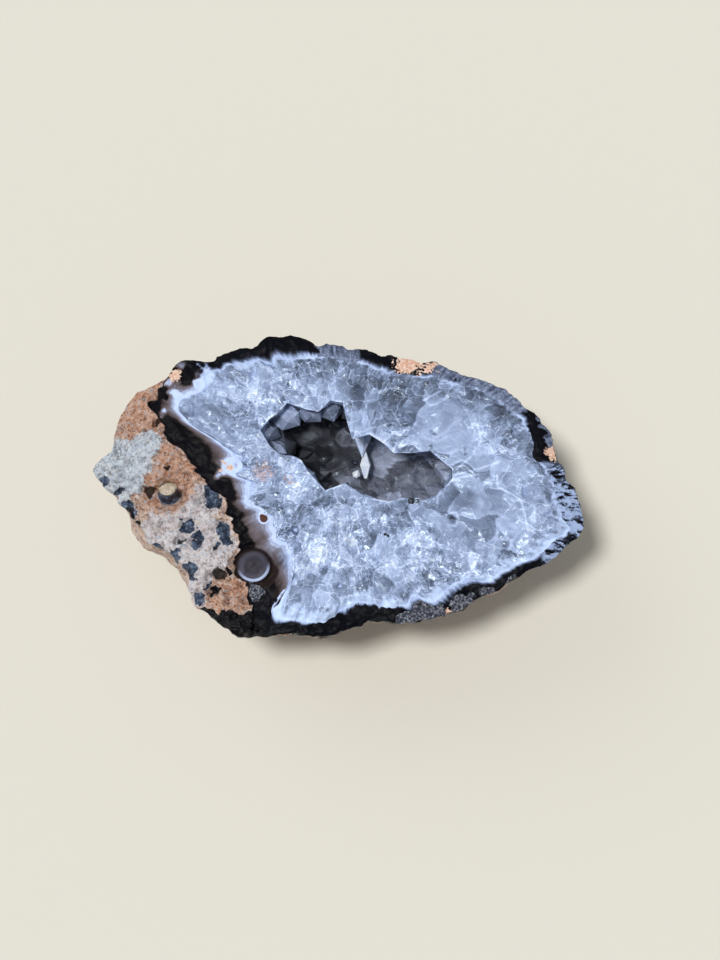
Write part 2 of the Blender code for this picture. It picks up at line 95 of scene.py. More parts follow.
QUARTZ_EDGE = [
    (44, 0.5), (42, 4.5), (39.6, 6.5), (40, 12), (37.5, 16), (36, 19), (33, 20.5), (27, 22.8), (21, 24.5),
    (17, 24.2), (12.5, 25), (7.5, 25.8), (2.5, 28.3), (-4.5, 29.2), (-9, 29), (-13.5, 28.8), (-14.5, 27.3),
    (-16.5, 28.2), (-22, 27.8), (-25, 26), (-27.5, 25.5), (-28.5, 22.3), (-30, 21), (-33, 19.5),
    (-33.5, 17), (-32.5, 15.5), (-30, 13), (-27.5, 11.5), (-25, 10), (-21.5, 7), (-20.5, 4.5),
    (-21.8, 2.6), (-18.8, 1.6), (-18, -0.5), (-18.8, -2.6), (-16, -5.2), (-14, -6.4), (-14.5, -8.5),
    (-11, -12.5), (-9.5, -16.5), (-10, -21), (-15.5, -24), (-14.5, -27.5), (-9, -29.3), (-3.5, -29),
    (0.5, -25.8), (4, -24.2), (7, -25.2), (10.5, -25.5), (13.5, -24), (15.5, -23), (19, -23.8),
    (21.5, -23.2), (22.5, -21), (25, -19.5), (28, -20), (31.5, -20), (34, -19), (37, -17), (41.5, -15.6),
    (45, -12.4), (46, -10.5), (47.2, -8.5), (45.8, -6), (44.4, -4),
]
MOUTH_EDGE = [
    (23, 4), (18.5, 8), (15, 7.5), (11, 7.5), (9, 9.5), (6, 11.5), (2.5, 10.5), (1.5, 14),
    (0.5, 18.5), (-2, 19), (-4.5, 16.5), (-7, 17), (-11, 18.5), (-13, 16), (-14.5, 15),
    (-16.5, 12.5), (-14.5, 9), (-12, 7), (-10, 7), (-8, 6), (-6.5, 3.5), (-3, -0.5), (1, 1),
    (5.5, -2), (10, -3), (12.5, -2.2), (16, -2.2), (17.5, -3.5), (20.5, -1), (23, 2),
]
HOLLOW_EDGE = [
    (28.5, 3.5), (27, 9), (22, 14), (15.5, 17), (9, 19.5), (3, 22.5), (-4, 24), (-10, 23.8),
    (-15.5, 22), (-18.5, 17.5), (-19.5, 12.5), (-17.5, 7.5), (-13.5, 3), (-9.5, -1), (-5.5, -4.8),
    (0, -7), (6.5, -8), (13, -8.5), (19.5, -8), (25.5, -4),
]
FACE = 31.0
MIDDLE = np.zeros(2)
NODULE_MIDDLE = np.array((6.0, 0.0))
HOLLOW_MIDDLE = np.array((3.0, 6.5))
LEAN = 0.26
left, front = np.array(STONE_EDGE).min(axis=0)
SHIFT = np.array((cad_low.x / MM - left, cad_low.y / MM - front, 0.0))
print("the face's middle is at", SHIFT.round(2), "mm")


def placed(points):
    """Millimetres about the face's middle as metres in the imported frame. The stone leans back: a point
    moves back by LEAN times its depth below the face."""
    return (points + SHIFT + (FACE - points[..., 2:]) * (0, LEAN, 0)) * MM

# %% [markdown]
# ## Working with rings
#
# A few helpers turn an outline into a ring of evenly turned points, smooth it, move it outwards, and blend
# between two rings. They all work on whole arrays, so that the same line serves one ring or a hundred.

# %% Rings
SIDES = 900
ANGLES = np.linspace(0, math.tau, SIDES, endpoint=False)


def ease(x):
    """0 below 0, 1 above 1, and 3 x squared less 2 x cubed in between."""
    x = np.clip(x, 0, 1)
    return x * x * (3 - 2 * x)


def mix(a, b, t):
    """a where t is 0, b where t is 1, and on the straight line between them elsewhere."""
    return a + (b - a) * t


def around(outline, angles=ANGLES, middle=MIDDLE):
    """Where rays from middle at these angles meet the closed outline, by straight lines between its
    corners. Where the outline turns back on itself its corners' angles are held 0.6 degrees apart, so that
    they keep their order."""
    corners = np.array(outline, float)
    turns = np.unwrap(np.arctan2(corners[:, 1] - middle[1], corners[:, 0] - middle[0]))
    spacing = math.radians(0.6) * np.arange(len(turns))
    turns = np.maximum.accumulate(turns - spacing) + spacing
    turns = np.append(turns, turns[0] + math.tau)
    corners = np.vstack([corners, corners[:1]])
    wound = turns[0] + (angles - turns[0]) % math.tau
    return np.stack([np.interp(wound, turns, corners[:, axis]) for axis in (0, 1)], axis=-1)


def evened(ring, reach):
    """The ring blurred along itself by a bell curve, reach points wide, through its frequencies."""
    waves_in_ring = np.fft.fftfreq(len(ring)) * math.tau
    bell = np.exp(-0.5 * (waves_in_ring * reach) ** 2)
    return np.fft.ifft(np.fft.fft(ring, axis=0) * bell.reshape(-1, *[1] * (ring.ndim - 1)), axis=0).real


def length(vectors):
    """The length of each vector, in an array with the same number of axes."""
    return np.linalg.norm(vectors, axis=-1, keepdims=True)


def grown(ring, middle, by):
    """Every point moved by a distance straight away from middle."""
    return ring + (ring - middle) / length(ring - middle) * by


def flat_3d(flat):
    """Places on the face as points in space, at height 0."""
    return np.concatenate([flat, np.zeros((*flat.shape[:-1], 1))], axis=-1)


RING_CIRCLE = 35.0


def around_rim(count):
    """Where each point lies along its ring, as a place on a circle. Noise there makes streaks across the
    ring."""
    return {
        "ring_x": np.tile(np.cos(ANGLES) * RING_CIRCLE, (count, 1)),
        "ring_y": np.tile(np.sin(ANGLES) * RING_CIRCLE, (count, 1)),
    }


# %% [markdown]
# ## Unevenness
#
# Stone is never smooth. Two kinds of unevenness are used. A sum of a few waves gives the broad lumps, and
# because it needs only a seed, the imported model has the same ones. Random numbers on a lattice, blended
# between its corners and added up at finer and finer sizes, give the grain. Both work on a whole grid of
# points at once.

# %% Waves and grain
def waves(points, size, seed):
    """The sum of eight waves over 3. Each runs in its own random direction and is about size long."""
    draws = random.Random(seed)
    total = 0.0
    for _ in range(8):
        along = np.array([draws.gauss(0, 1), draws.gauss(0, 1), draws.gauss(0, 1)])
        along /= np.linalg.norm(along)
        stretch, start = draws.uniform(0.7, 1.4), draws.random()
        total = total + np.sin(math.tau * (points @ along / size / stretch + start))
    return total / 3


TABLE = 4096


def scrambled(cells):
    """A number from 0 to TABLE - 1 for each cell of a lattice, in no order."""
    return (cells[..., 0] * 73856093 ^ cells[..., 1] * 19349663 ^ cells[..., 2] * 83492791) & (TABLE - 1)


def lattice(points, size, seed):
    """Random values from -1 to 1 at the corners of cubes, blended smoothly inside each cube."""
    table = np.random.default_rng(seed).uniform(-1, 1, TABLE)
    place = points / size
    cube = np.floor(place).astype(np.int64)
    inside = ease(place - cube)
    total = 0.0
    for corner in itertools.product((0, 1), repeat=3):
        weight = np.prod(np.where(corner, inside, 1 - inside), axis=-1)
        total = total + table[scrambled(cube + corner)] * weight
    return total


def grain(points, size, seed, octaves=4):
    """Lattices of size, half of it and so on, each at 0.55 of the strength before."""
    return sum(0.55**n * lattice(points, size * 0.5**n, seed + n) for n in range(octaves))


def near(flat, spots, edge=0.4):
    """1 inside any of the round spots, 0 outside, with a soft rim."""
    nearest = np.full(flat.shape[:-1], -1e9)
    for x, y, radius in spots:
        nearest = np.maximum(nearest, (radius - length(flat - (x, y))[..., 0]) / (radius * edge))
    return ease(nearest + 0.5)


def uneven(flat, size, by, seed):
    """The places pushed about by grain, so that round spots get ragged outlines."""
    deep = flat_3d(flat)
    return flat + np.stack([grain(deep, size, seed, 3), grain(deep, size, seed + 9, 3)], axis=-1) * by


# %% [markdown]
# ## Broken crystals as relief
#
# Broken quartz shows the sides and ends of countless crystals. Modelling each one would take millions of
# faces. Instead a surface is raised by a height field in space: every cell of a jittered lattice holds one
# box that is turned at random, a point's height is how near it is to the nearest side of the box that rises
# highest there, and that gives flat facets with straight creases, as real crystals have.

# %% Facets
TURNS = 512


def facets(points, size, seed, slope=0.45, stretch=1.0):
    """The highest of the turned boxes near each point. A box's height at a point is its own top less slope
    times the largest of the point's three distances along its axes. With stretch the boxes are drawn out
    away from the hollow. Also returns how close each point is to the crease between two boxes, and a random
    number for its box."""
    draws = np.random.default_rng(seed)
    turned = np.linalg.qr(draws.normal(size=(TURNS, 3, 3)))[0]
    table = draws.uniform(0, 1, (TABLE, 5))
    outward = points[..., :2] - HOLLOW_MIDDLE
    outward = outward / length(outward)
    cell = np.floor(points / size).astype(np.int64)
    best = np.full(points.shape[:-1], -1e9)
    second = best.copy()
    shade = np.zeros_like(best)
    for step in itertools.product((-1, 0, 1), repeat=3):
        at = cell + step
        pick = scrambled(at)
        own = table[pick]
        away = points - (at + 0.5 + 0.7 * (own[..., :3] - 0.5)) * size
        radial = np.sum(away[..., :2] * outward, axis=-1, keepdims=True)
        away[..., :2] -= outward * radial * (1 - 1 / stretch)
        sides = abs(np.einsum("...i,...ij->...j", away, turned[pick % TURNS]))
        height = own[..., 3] * 0.5 * size * slope - slope * sides.max(axis=-1)
        wins = height > best
        second = np.where(wins, best, np.maximum(second, height))
        shade = np.where(wins, own[..., 4], shade)
        best = np.where(wins, height, best)
    return best, np.exp(-(best - second) / (0.06 * size * slope)), shade


# %% [markdown]
# ## From grids to meshes
#
# A closed piece is a stack of rings: it starts at a point inside, runs up its inner wall, over the face and
# down its outer wall to a second point. Each ring is a row of a grid, and the two points are its poles,
# closed with fans of triangles. If the solid comes out inside out, which its signed volume tells, the faces
# are turned.

# %% Mesh maker
def to_right(x):
    """0 on the left of the face, 1 on its right."""
    return ease(x / 30 + 0.5)


def closed_piece(name, rows, first_pole, last_pole, finish, slot, **measures):
    """A mesh from rows of rings and a pole at each end. Each measure becomes a vertex attribute for the
    material. The measure right is 0 on the left of the face and 1 on its right."""
    grid = np.stack(rows)
    height, width = grid.shape[:2]
    points = np.vstack([grid.reshape(-1, 3), first_pole, last_pole])
    k, across = np.arange(width), (np.arange(width) + 1) % width
    starts = np.arange(height - 1)[:, None] * width
    quads = np.stack([starts + k, starts + across, starts + width + across, starts + width + k], axis=-1)
    quads = quads.reshape(-1, 4)
    foot = (height - 1) * width
    fans = np.vstack([
        np.stack([across, k, np.full(width, height * width)], axis=-1),
        np.stack([foot + k, foot + across, np.full(width, height * width + 1)], axis=-1),
    ])
    a, b, c = points[quads[:, 0]], points[quads[:, 1]], points[quads[:, 2]]
    if np.sum(np.cross(a, b) * c) < 0:
        quads, fans = quads[:, ::-1], fans[:, ::-1]
    mesh = bpy.data.meshes.new(name)
    mesh.from_pydata(placed(points).tolist(), [], quads.tolist() + fans.tolist())
    measures["right"] = to_right(grid[..., 0])
    poles = (0.0, 0.0)
    measures = {label: np.append(np.stack(values).ravel(), poles) for label, values in measures.items()}
    add_measures(mesh, measures)
    return add_piece(name, mesh, finish, smooth=True)


def add_measures(mesh, measures):
    """Gives the mesh one number for each vertex under each label, for the materials to read."""
    for label, values in measures.items():
        mesh.attributes.new(label, "FLOAT", "POINT").data.foreach_set("value", values.astype(np.float32))


def add_piece(name, mesh, finish, smooth):
    """Puts a mesh in the scene with its finish, riding on the stone."""
    mesh.polygons.foreach_set("use_smooth", np.full(len(mesh.polygons), smooth))
    mesh.materials.append(finish)
    mesh.update()
    made = bpy.data.objects.new(name, mesh)
    bpy.context.scene.collection.objects.link(made)
    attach(made, "root")
    print(name, "has", len(mesh.polygons), "faces")
    return made


# %% [markdown]
# ## Shader maths as Python
#
# A material is a network of nodes. Written node by node it is long and hard to read, so a small class
# stands for one wire of the network, and adding or multiplying two wires adds the Math node that does it.
# Colours are written as a screen shows them, 0 to 255.

# %% Wires
def seen(red, green, blue):
    """A colour as a screen shows it, as the linear values that a shader needs, with full cover."""
    linear = (c / 255 / 12.92 if c <= 10 else ((c / 255 + 0.055) / 1.055) ** 2.4 for c in (red, green, blue))
    return (*linear, 1.0)


class Wire:
    """One number, colour or vector that flows through a material."""

    def __init__(self, paint, socket):
        self.paint = paint
        self.socket = socket

    def maths(self, operation, *values):
        """A Math node with these values or wires as its inputs."""
        return self.paint.node("ShaderNodeMath", {"operation": operation}, dict(enumerate(values)))

    def __add__(self, other):
        return self.maths("ADD", self, other)

    def __sub__(self, other):
        return self.maths("SUBTRACT", self, other)

    def __rsub__(self, other):
        return self.maths("SUBTRACT", other, self)

    def __mul__(self, other):
        return self.maths("MULTIPLY", self, other)

    __radd__ = __add__
    __rmul__ = __mul__

    def above(self, low, high):
        """0 below low, 1 above high, with a soft step between them. It falls instead where high is the
        lower one."""
        inputs = {"Value": self, "From Min": low, "From Max": high}
        return self.paint.node("ShaderNodeMapRange", {"interpolation_type": "SMOOTHSTEP"}, inputs)

    def sine(self):
        return self.maths("SINE", self)


# %% [markdown]
# ## Paint
#
# The nodes that every finish here uses, each under a short name: noise and cells in millimetres, measures
# of the mesh, colour ramps and coats, and fine relief. A finish is then a few lines that read like a
# recipe.

# %% Paint
class Paint:
    """A material and its one Principled shader, or two that are mixed."""

    def __init__(self, name):
        self.material = bpy.data.materials.new(name)
        self.material.use_nodes = True
        self.tree = self.material.node_tree
        self.tree.nodes.clear()
        self.place = self.node("ShaderNodeTexCoord", output="Object")

    def node(self, kind, settings=None, inputs=None, output=0):
        """Adds a node: its settings first, then a value or a wire for each input."""
        made = self.tree.nodes.new(kind)
        for key, value in (settings or {}).items():
            setattr(made, key, value)
        for key, value in (inputs or {}).items():
            if isinstance(value, Wire):
                self.tree.links.new(value.socket, made.inputs[key])
            else:
                made.inputs[key].default_value = value
        return Wire(self, made.outputs[output])

    def noise(self, size, detail=3.0, rough=0.55, twist=0.0, place=None):
        """Cloudy values round 0.5, with blots about size millimetres across."""
        inputs = {"Vector": place or self.place, "Scale": 1 / (size * MM), "Detail": detail}
        inputs |= {"Roughness": rough, "Distortion": twist}
        return self.node("ShaderNodeTexNoise", None, inputs)

    def streaks(self, across, scale, detail, push=None):
        """Noise drawn out across a ring: it changes fast along the ring, and slowly with the value
        across."""
        x, y = self.measure("ring_x"), self.measure("ring_y")
        if push:
            x, y = x + push, y + push
        ring = self.node("ShaderNodeCombineXYZ", None, {0: x, 1: y, 2: across})
        return self.node("ShaderNodeTexNoise", None, {"Vector": ring, "Scale": scale, "Detail": detail})

    def cells(self, size, feature="DISTANCE_TO_EDGE", place=None, output="Distance"):
        """Random cells about size millimetres across: how far a place is from the border of its own
        cell."""
        inputs = {"Vector": place or self.place, "Scale": 1 / (size * MM)}
        return self.node("ShaderNodeTexVoronoi", {"feature": feature}, inputs, output)

    def coloured_cells(self, size, place):
        """Cells that each have a random colour, and the red of that colour as a random number."""
        colour = self.cells(size, "F1", place, "Color")
        return colour, self.node("ShaderNodeSeparateColor", None, {0: colour})

    def measure(self, label):
        """A number that the mesh carries under this label."""
        return self.node("ShaderNodeAttribute", {"attribute_name": label}, output="Fac")

    def ramp(self, value, stops):
        """A colour for each value, by stops that are each a value and a colour."""
        made = self.node("ShaderNodeValToRGB", None, {"Fac": value})
        elements = made.socket.node.color_ramp.elements
        while len(elements) < len(stops):
            elements.new(0.5)
        for element, (place, *colour) in zip(elements, stops):
            element.position = place
            element.color = seen(*colour)
        return made

    def blend(self, below, above, share):
        """The colour below, covered by the colour above where share is 1."""
        below, above = (seen(*c) if isinstance(c, tuple) else c for c in (below, above))
        return self.node("ShaderNodeMix", {"data_type": "RGBA"}, {0: share, 6: below, 7: above}, output=2)

    def coats(self, colour, *coats):
        """The colour under coats of other colours, the lowest first, each with its share."""
        for above, share in coats:
            colour = self.blend(colour, above, share)
        return colour

    def vector(self, operation, *values):
        return self.node("ShaderNodeVectorMath", {"operation": operation}, dict(enumerate(values)))

    def warped(self, size, by):
        """The place, pushed about by up to half of by millimetres."""
        inputs = {"Vector": self.place, "Scale": 1 / (size * MM), "Detail": 2.0}
        push = self.node("ShaderNodeTexNoise", None, inputs, "Color")
        return self.vector("MULTIPLY_ADD", push, (by * MM,) * 3, self.place)

    def bump(self, height, depth, normal=None):
        """Fine relief: height times depth in millimetres, on top of another normal where one is given."""
        inputs = {"Height": height, "Distance": depth * MM, "Strength": 1.0}
        if normal:
            inputs["Normal"] = normal
        return self.node("ShaderNodeBump", None, inputs, "Normal")

    def tilted(self, colour, by, normal=None):
        """The surface's normal, or another one, pushed by a colour less grey. One colour per cell makes
        each cell a flat facet."""
        push = self.vector("MULTIPLY_ADD", colour, by, by * -0.5)
        own = normal or self.node("ShaderNodeNewGeometry", output="Normal")
        return self.vector("NORMALIZE", self.vector("ADD", own, push))

    def shader(self, **inputs):
        """A Principled shader. The inputs' names have _ for a space."""
        inputs = {key.replace("_", " "): value for key, value in inputs.items()}
        if isinstance(inputs["Base Color"], tuple):
            inputs["Base Color"] = seen(*inputs["Base Color"])
        return self.node("ShaderNodeBsdfPrincipled", None, inputs)

    def finish(self, shader):
        end = self.tree.nodes.new("ShaderNodeOutputMaterial")
        self.tree.links.new(shader.socket, end.inputs["Surface"])
        print("the finish", self.material.name, "has", len(self.tree.nodes), "nodes")
        return self.material


# %% [markdown]
# ## The rock's finish
#
# The rock that held the nodule is a weathered lava: rusty and tan grains, a blue-grey crust at the left
# tip, whitish pink grains lower down, and small holes that a blue-black mineral fills. Painting it
# would need a picture, so its colours come from noise at three sizes and from measures that the mesh
# carries: where it is rusty, blue or a hole that the mineral fills. Shade is painted in as well: near black
# in the pits and round the knob's foot, the holes' dark glass on the knob's front side, and dark brown
# specks in the low places of the grain.

# %% Rock's finish
def rock_finish():
    p = Paint("host_rock")
    broad, blots, grains = p.noise(7, 4, 0.6, 0.6), p.noise(1.6, 4, 0.7), p.noise(0.42, 3, 0.75)
    speck = p.coloured_cells(0.5, p.warped(0.6, 0.5))[1]
    both = blots * 0.55 + grains * 0.45
    tan, rust, pink, blue = (p.ramp(both, stops) for stops in (
        [(0.34, 84, 58, 46), (0.43, 198, 160, 140), (0.53, 236, 206, 188), (0.66, 250, 234, 224)],
        [(0.34, 88, 50, 36), (0.44, 200, 146, 118), (0.56, 236, 194, 170), (0.69, 250, 224, 208)],
        [(0.34, 112, 92, 88), (0.42, 224, 210, 212), (0.52, 244, 238, 242), (0.64, 252, 250, 252)],
        [(0.34, 96, 108, 128), (0.43, 208, 219, 234), (0.55, 238, 246, 255), (0.68, 248, 252, 255)],
    ))
    glass = p.ramp(blots, [(0.35, 22, 26, 34), (0.5, 58, 70, 92), (0.68, 120, 136, 160)])
    crust = p.ramp(grains, [(0.45, 5, 4, 7), (0.75, 36, 34, 42)])
    stub = p.ramp(both, [(0.4, 186, 164, 140), (0.6, 240, 226, 206)])
    holes_and_knob_shade, knob, is_pink = p.measure("filled_and_knob_shade"), p.measure("knob"), p.measure("pink")
    # The holes' measure also carries the knob's front side, which is painted shade.
    filled_and_knob_shade = (holes_and_knob_shade + (grains - 0.5) * 0.7 + (blots - 0.5) * 1.1).above(0.45, 0.55)
    black = (p.measure("black") + (blots - 0.5) * 0.4).above(0.45, 0.55)
    colour = p.coats(
        tan,
        (pink, (is_pink + (broad - 0.5) * 1.6 + (blots - 0.5) * 0.8).above(0.35, 0.65)),
        (rust, (p.measure("rusty") + (broad - 0.5) * 1.2 + (blots - 0.5) * 0.8).above(0.35, 0.6)),
        (blue, (p.measure("blue") + (blots - 0.5) * 1.3).above(0.35, 0.6)),
        ((246, 236, 228), speck.above(0.78, 0.88) * (0.25 + 0.35 * is_pink)),
        ((110, 66, 48), speck.above(0.2, 0.12) * 0.45),
        ((206, 214, 228), speck.above(0.5, 0.53) * speck.above(0.66, 0.62) * 0.55),
        # Painted shade: dark brown specks in the low places of the broken top's grain.
        ((44, 30, 26), p.measure("low") * grains.above(0.6, 0.4) * 0.75),
        ((226, 222, 224), (holes_and_knob_shade + (grains - 0.5) * 0.8 + (blots - 0.5) * 1.1).above(0.1, 0.35) * 0.6),
        # The holes' dark glass; on the knob's front side the same colour is painted shade.
        (glass, filled_and_knob_shade),
        # Painted shade: near black in the pits and in a ring round the knob's foot.
        ((24, 15, 12), p.measure("pit_shade").above(0.25, 0.8) * 0.92),
        (crust, black),
        ((60, 38, 30), knob.above(0.05, 0.3)),
        (stub, knob.above(0.35, 0.6)),
    )
    glossy = filled_and_knob_shade.maths("MAXIMUM", filled_and_knob_shade, black)
    height = grains * 0.7 + blots + speck * 0.25
    normal = p.bump(height * (1 - 0.75 * glossy), 1.0)
    rough = 0.95 - 0.7 * glossy
    return p.finish(p.shader(Base_Color=colour, Roughness=rough, Normal=normal, Specular_IOR_Level=0.25))


rock_material = rock_finish()

# %% [markdown]
# ## The agate's finish
#
# Agate is layer on layer of fine quartz. Next to the milky quartz it is white, then it turns lilac grey,
# smoky brown and at last black. The mesh carries how far each point lies on the way from the quartz to the
# rock, and one colour ramp over it, made wavy with noise, gives the band. Streaks of noise across the band
# are its fibres.

# %% Agate's finish
def agate_finish():
    p = Paint("agate")
    wobble, fine = p.noise(2.4, 3, 0.6), p.noise(0.5, 3, 0.65)
    from_quartz, is_brown = p.measure("from_quartz"), p.measure("brown")
    streaks = p.streaks(from_quartz * 0.3, 1.5, 4.0)
    lobes = p.cells(3.4, "SMOOTH_F1", place=p.warped(3, 1.0))
    way = p.measure("way") + (0.42 - lobes) * 0.25 + (wobble - 0.5) * 0.2 + (streaks - 0.5) * 0.42 + 0.02
    way = way - (streaks - 0.5) * is_brown * 0.22 + p.measure("pocket") * (0.75 - 0.27 * is_brown)
    way = way - p.measure("light") * 0.52
    near_quartz = (from_quartz + (lobes - 0.42) * 2.2 - (streaks - 0.5) * 2.0).above(2.1, 0.5)
    way = way * (1 - 0.85 * is_brown * near_quartz)
    brown = p.ramp(way, [
        (0, 190, 210, 248), (0.08, 158, 170, 204), (0.2, 126, 126, 146), (0.36, 104, 95, 102),
        (0.5, 76, 66, 67), (0.62, 28, 21, 21), (0.74, 12, 11, 16), (1, 11, 10, 16),
    ])
    sharp = p.ramp(way, [
        (0, 194, 214, 252), (0.14, 150, 168, 208), (0.28, 84, 94, 120), (0.4, 24, 25, 33),
        (0.5, 12, 13, 20), (1, 10, 11, 17),
    ])
    layers = (way * 60.0).sine() * 0.5 + 0.5
    loops = p.streaks(from_quartz * 0.3, 1.6, 2.5, wobble * 2.2)
    folds = p.ramp(loops, [(0.41, 5, 5, 8), (0.47, 70, 78, 100), (0.56, 156, 174, 210)])
    fibres = streaks * 0.6 + fine * 0.4
    haze = p.ramp(fibres, [(0.35, 52, 58, 76), (0.5, 104, 114, 140), (0.65, 160, 174, 204)])
    tan = p.ramp(fine, [(0.35, 200, 150, 120), (0.65, 232, 206, 192)])
    crust = p.ramp(fine, [(0.3, 14, 14, 18), (0.5, 76, 80, 92), (0.7, 168, 170, 180)])
    eye, lower, drop, stain = (p.measure(label) for label in ("eye", "eye_low", "drop", "stain"))
    rings = p.ramp(eye, [
        (0, 56, 53, 61), (0.45, 60, 57, 66), (0.66, 78, 77, 90), (0.8, 66, 62, 70), (0.9, 40, 32, 32),
        (1, 40, 31, 30),
    ])
    rings = p.blend(rings, (176, 190, 222), lower * eye.above(0.7, 0.8) * eye.above(0.93, 0.87))
    ragged_stain = (stain + (wobble - 0.5) * 2.0 + (fine - 0.5) * 2.4).above(0.4, 0.6)
    ragged_stain = ragged_stain * stain.above(0.02, 0.2)
    rind = (p.measure("rind") + (wobble - 0.5) * 1.2).above(0.45, 0.65)
    colour = p.coats(
        sharp,
        (brown, is_brown),
        ((212, 226, 255), layers * way.above(0.3, 0.05) * 0.5),
        (folds, p.measure("folded")),
        (haze, (p.measure("haze") + (wobble - 0.5) * 0.8).above(0.35, 0.7) * 0.9),
        (rings, (eye - lower * 0.42).above(1.12, 0.95)),
        ((196, 212, 248), drop.above(0.15, 0.35)),
        ((84, 56, 46), drop.above(0.55, 0.75)),
        (tan, ragged_stain),
        (crust, rind),
    )
    normal = p.bump(fine * (0.3 + rind * 4.0) + wobble * 0.3, 0.08)
    rough = 0.34 + 0.2 * fine + 0.25 * rind
    shader = p.shader(Base_Color=colour, Roughness=rough, Normal=normal, IOR=1.54, Specular_IOR_Level=0.05)
    return p.finish(shader)


agate_material = agate_finish()

# %% [markdown]
# ## The quartz's finish
#
# Milky quartz is clear crystal full of cracks and tiny bubbles. Two shaders are mixed: a see-through one
# with quartz's own index of refraction, and a white one for what clouds it. One value, the veil, says how
# cloudy each place is. It adds up cracks, crystal borders, needles near the agate, random plates and
# shards, and painted glints on some shards. The crystals in the hollow are the same mineral, but the
# deeper they lie the clearer and greyer they are; they are painted darker towards the left of the hollow
# as shade and lighter towards its right as light.

# %% Quartz's finish
QUARTZ_IOR = 1.544
COOL = (0.72, 0.86, 1.0, 1.0)


def quartz_finish(name):
    p = Paint(name)
    clouds, blots = p.noise(5, 4, 0.6, 0.4), p.noise(1.7, 3, 0.6)
    fine, grit = p.noise(0.5, 3, 0.6), p.noise(0.3, 2, 0.6)
    place, bent = p.warped(1.5, 0.9), p.warped(2.4, 1.5)
    plates, plate = p.coloured_cells(2.7, bent)
    shards, shard = p.coloured_cells(1.25, place)
    bit = p.coloured_cells(0.55, place)[1]
    crease, shade, border, depth = (p.measure(label) for label in ("crease", "shade", "border", "depth"))
    white_rim, busy, calm, right = (p.measure(label) for label in ("white", "busy", "calm", "right"))
    deep = depth.above(1.5, 7.0)

    crackle = p.cells(1.25, place=place).above(0.05, 0.0) * blots.above(0.45, 0.6)
    web = p.cells(2.7, place=bent).above(0.05, 0.0) * blots.above(0.42, 0.6)
    web = web + p.cells(6.0, place=bent).above(0.024, 0.0) * blots.above(0.6, 0.45)
    netted = p.cells(1.1, place=p.warped(1.2, 1.4)).above(0.1, 0.0)
    web = web + netted * clouds.above(0.42, 0.6) * (0.1 + 0.6 * busy)
    cracks = p.noise(1.9, 3.0, 0.5, place=p.warped(1.0, 0.8)) - 0.5
    web = web + cracks.maths("ABSOLUTE", cracks).above(0.016, 0.0) * (0.2 + 0.25 * busy)

    small = (plate - 0.5) * 0.5 + (shard - 0.5) * (0.16 + 0.3 * busy) + (bit - 0.5) * busy * 0.35
    small = small + crackle * 0.3 * busy + (grit - 0.5) * 0.7
    # Painted glints: bright specks where a tiny random cell is among the brightest and its shard is light,
    # mostly where the quartz is busy.
    small = small + bit.above(0.84, 0.88) * shard.above(0.5, 0.7) * 0.5 * busy + (clouds - 0.5) * 0.6

    streaks = p.streaks(border * 0.3, 1.1, 4.0)
    needles = p.streaks(border * 0.12, 2.6, 2.0).above(0.58, 0.66)
    veil = (shade - 0.5) * 1.0 + crease * 0.15 + (clouds - 0.5) * 0.5 + small * (1 - 0.55 * calm)
    veil = veil + web * (0.7 - 0.5 * calm) * (1 - 0.7 * deep) - p.measure("shady") * 0.5 - right * 0.12 - 0.06
    veil = veil + (streaks - 0.5) * border.above(7.0, 1.0) * 1.0
    veil = veil + p.measure("seam") * (blots.above(0.4, 0.55) * 0.5 + 0.25)
    veil = veil + needles * border.above(12.0, 7.0) * blots.above(0.45, 0.6) * (0.25 + 0.5 * busy)
    fringe = border - (streaks - 0.4) * (3.0 + 6.0 * white_rim)
    fringe = fringe.above(0.6 + 2.2 * white_rim, -0.3) * (0.3 + 0.7 * white_rim)

    milk = p.ramp(veil * 0.34 + 0.47, [
        (0, 84, 93, 116), (0.25, 124, 138, 168), (0.45, 158, 175, 211), (0.65, 186, 204, 240),
        (1, 238, 246, 255),
    ])
    # The hollow's grey: painted shade towards the left of the hollow and painted light towards its right.
    deep_grey_and_side_shade = p.ramp(veil * 0.35 + 0.42 + (right - 0.62) * 0.85, [
        (0.1, 40, 40, 45), (0.42, 76, 77, 86), (0.7, 130, 136, 156), (1, 182, 194, 222),
    ])
    milk = p.coats(
        milk,
        ((198, 218, 254), fringe * (blots.above(0.3, 0.55) * 0.35 + 0.65)),
        (deep_grey_and_side_shade, deep),
        ((196, 150, 128), p.measure("stain") * bit.above(0.3, 0.6) * 0.6),
        ((14, 14, 18), (p.measure("speck") + (fine - 0.5) * 1.2).above(0.45, 0.6)),
    )
    facet = p.tilted(plates, busy * 0.1 + 0.08, p.tilted(shards, busy * 0.3 + 0.1))
    normal = p.bump(fine * 0.4 + blots * 0.6, 0.08, facet)
    shared = {"Normal": normal, "IOR": QUARTZ_IOR, "Specular_Tint": COOL}
    glass = p.blend((190, 202, 230), (110, 112, 122), deep)
    clear = p.shader(Base_Color=glass, Roughness=0.12 + 0.15 * fine, Transmission_Weight=1.0, **shared)
    white = p.shader(Base_Color=milk, Roughness=0.26 + 0.3 * fine - 0.12 * busy + 0.2 * deep, **shared)
    share = (veil * 0.32 + 0.7 + fringe + deep * 0.1).above(0.0, 1.0)
    return p.finish(p.node("ShaderNodeMixShader", None, {0: share, 1: clear, 2: white}))


quartz_material = quartz_finish("quartz")
crystal_material = quartz_finish("crystal")

# %% [markdown]
# ## The bowls
#
# Below the face every border sinks as a bowl: each point of the ring slides towards the bowl's lowest point
# along a quarter of an ellipse. Low down the ring's small bumps are evened out.

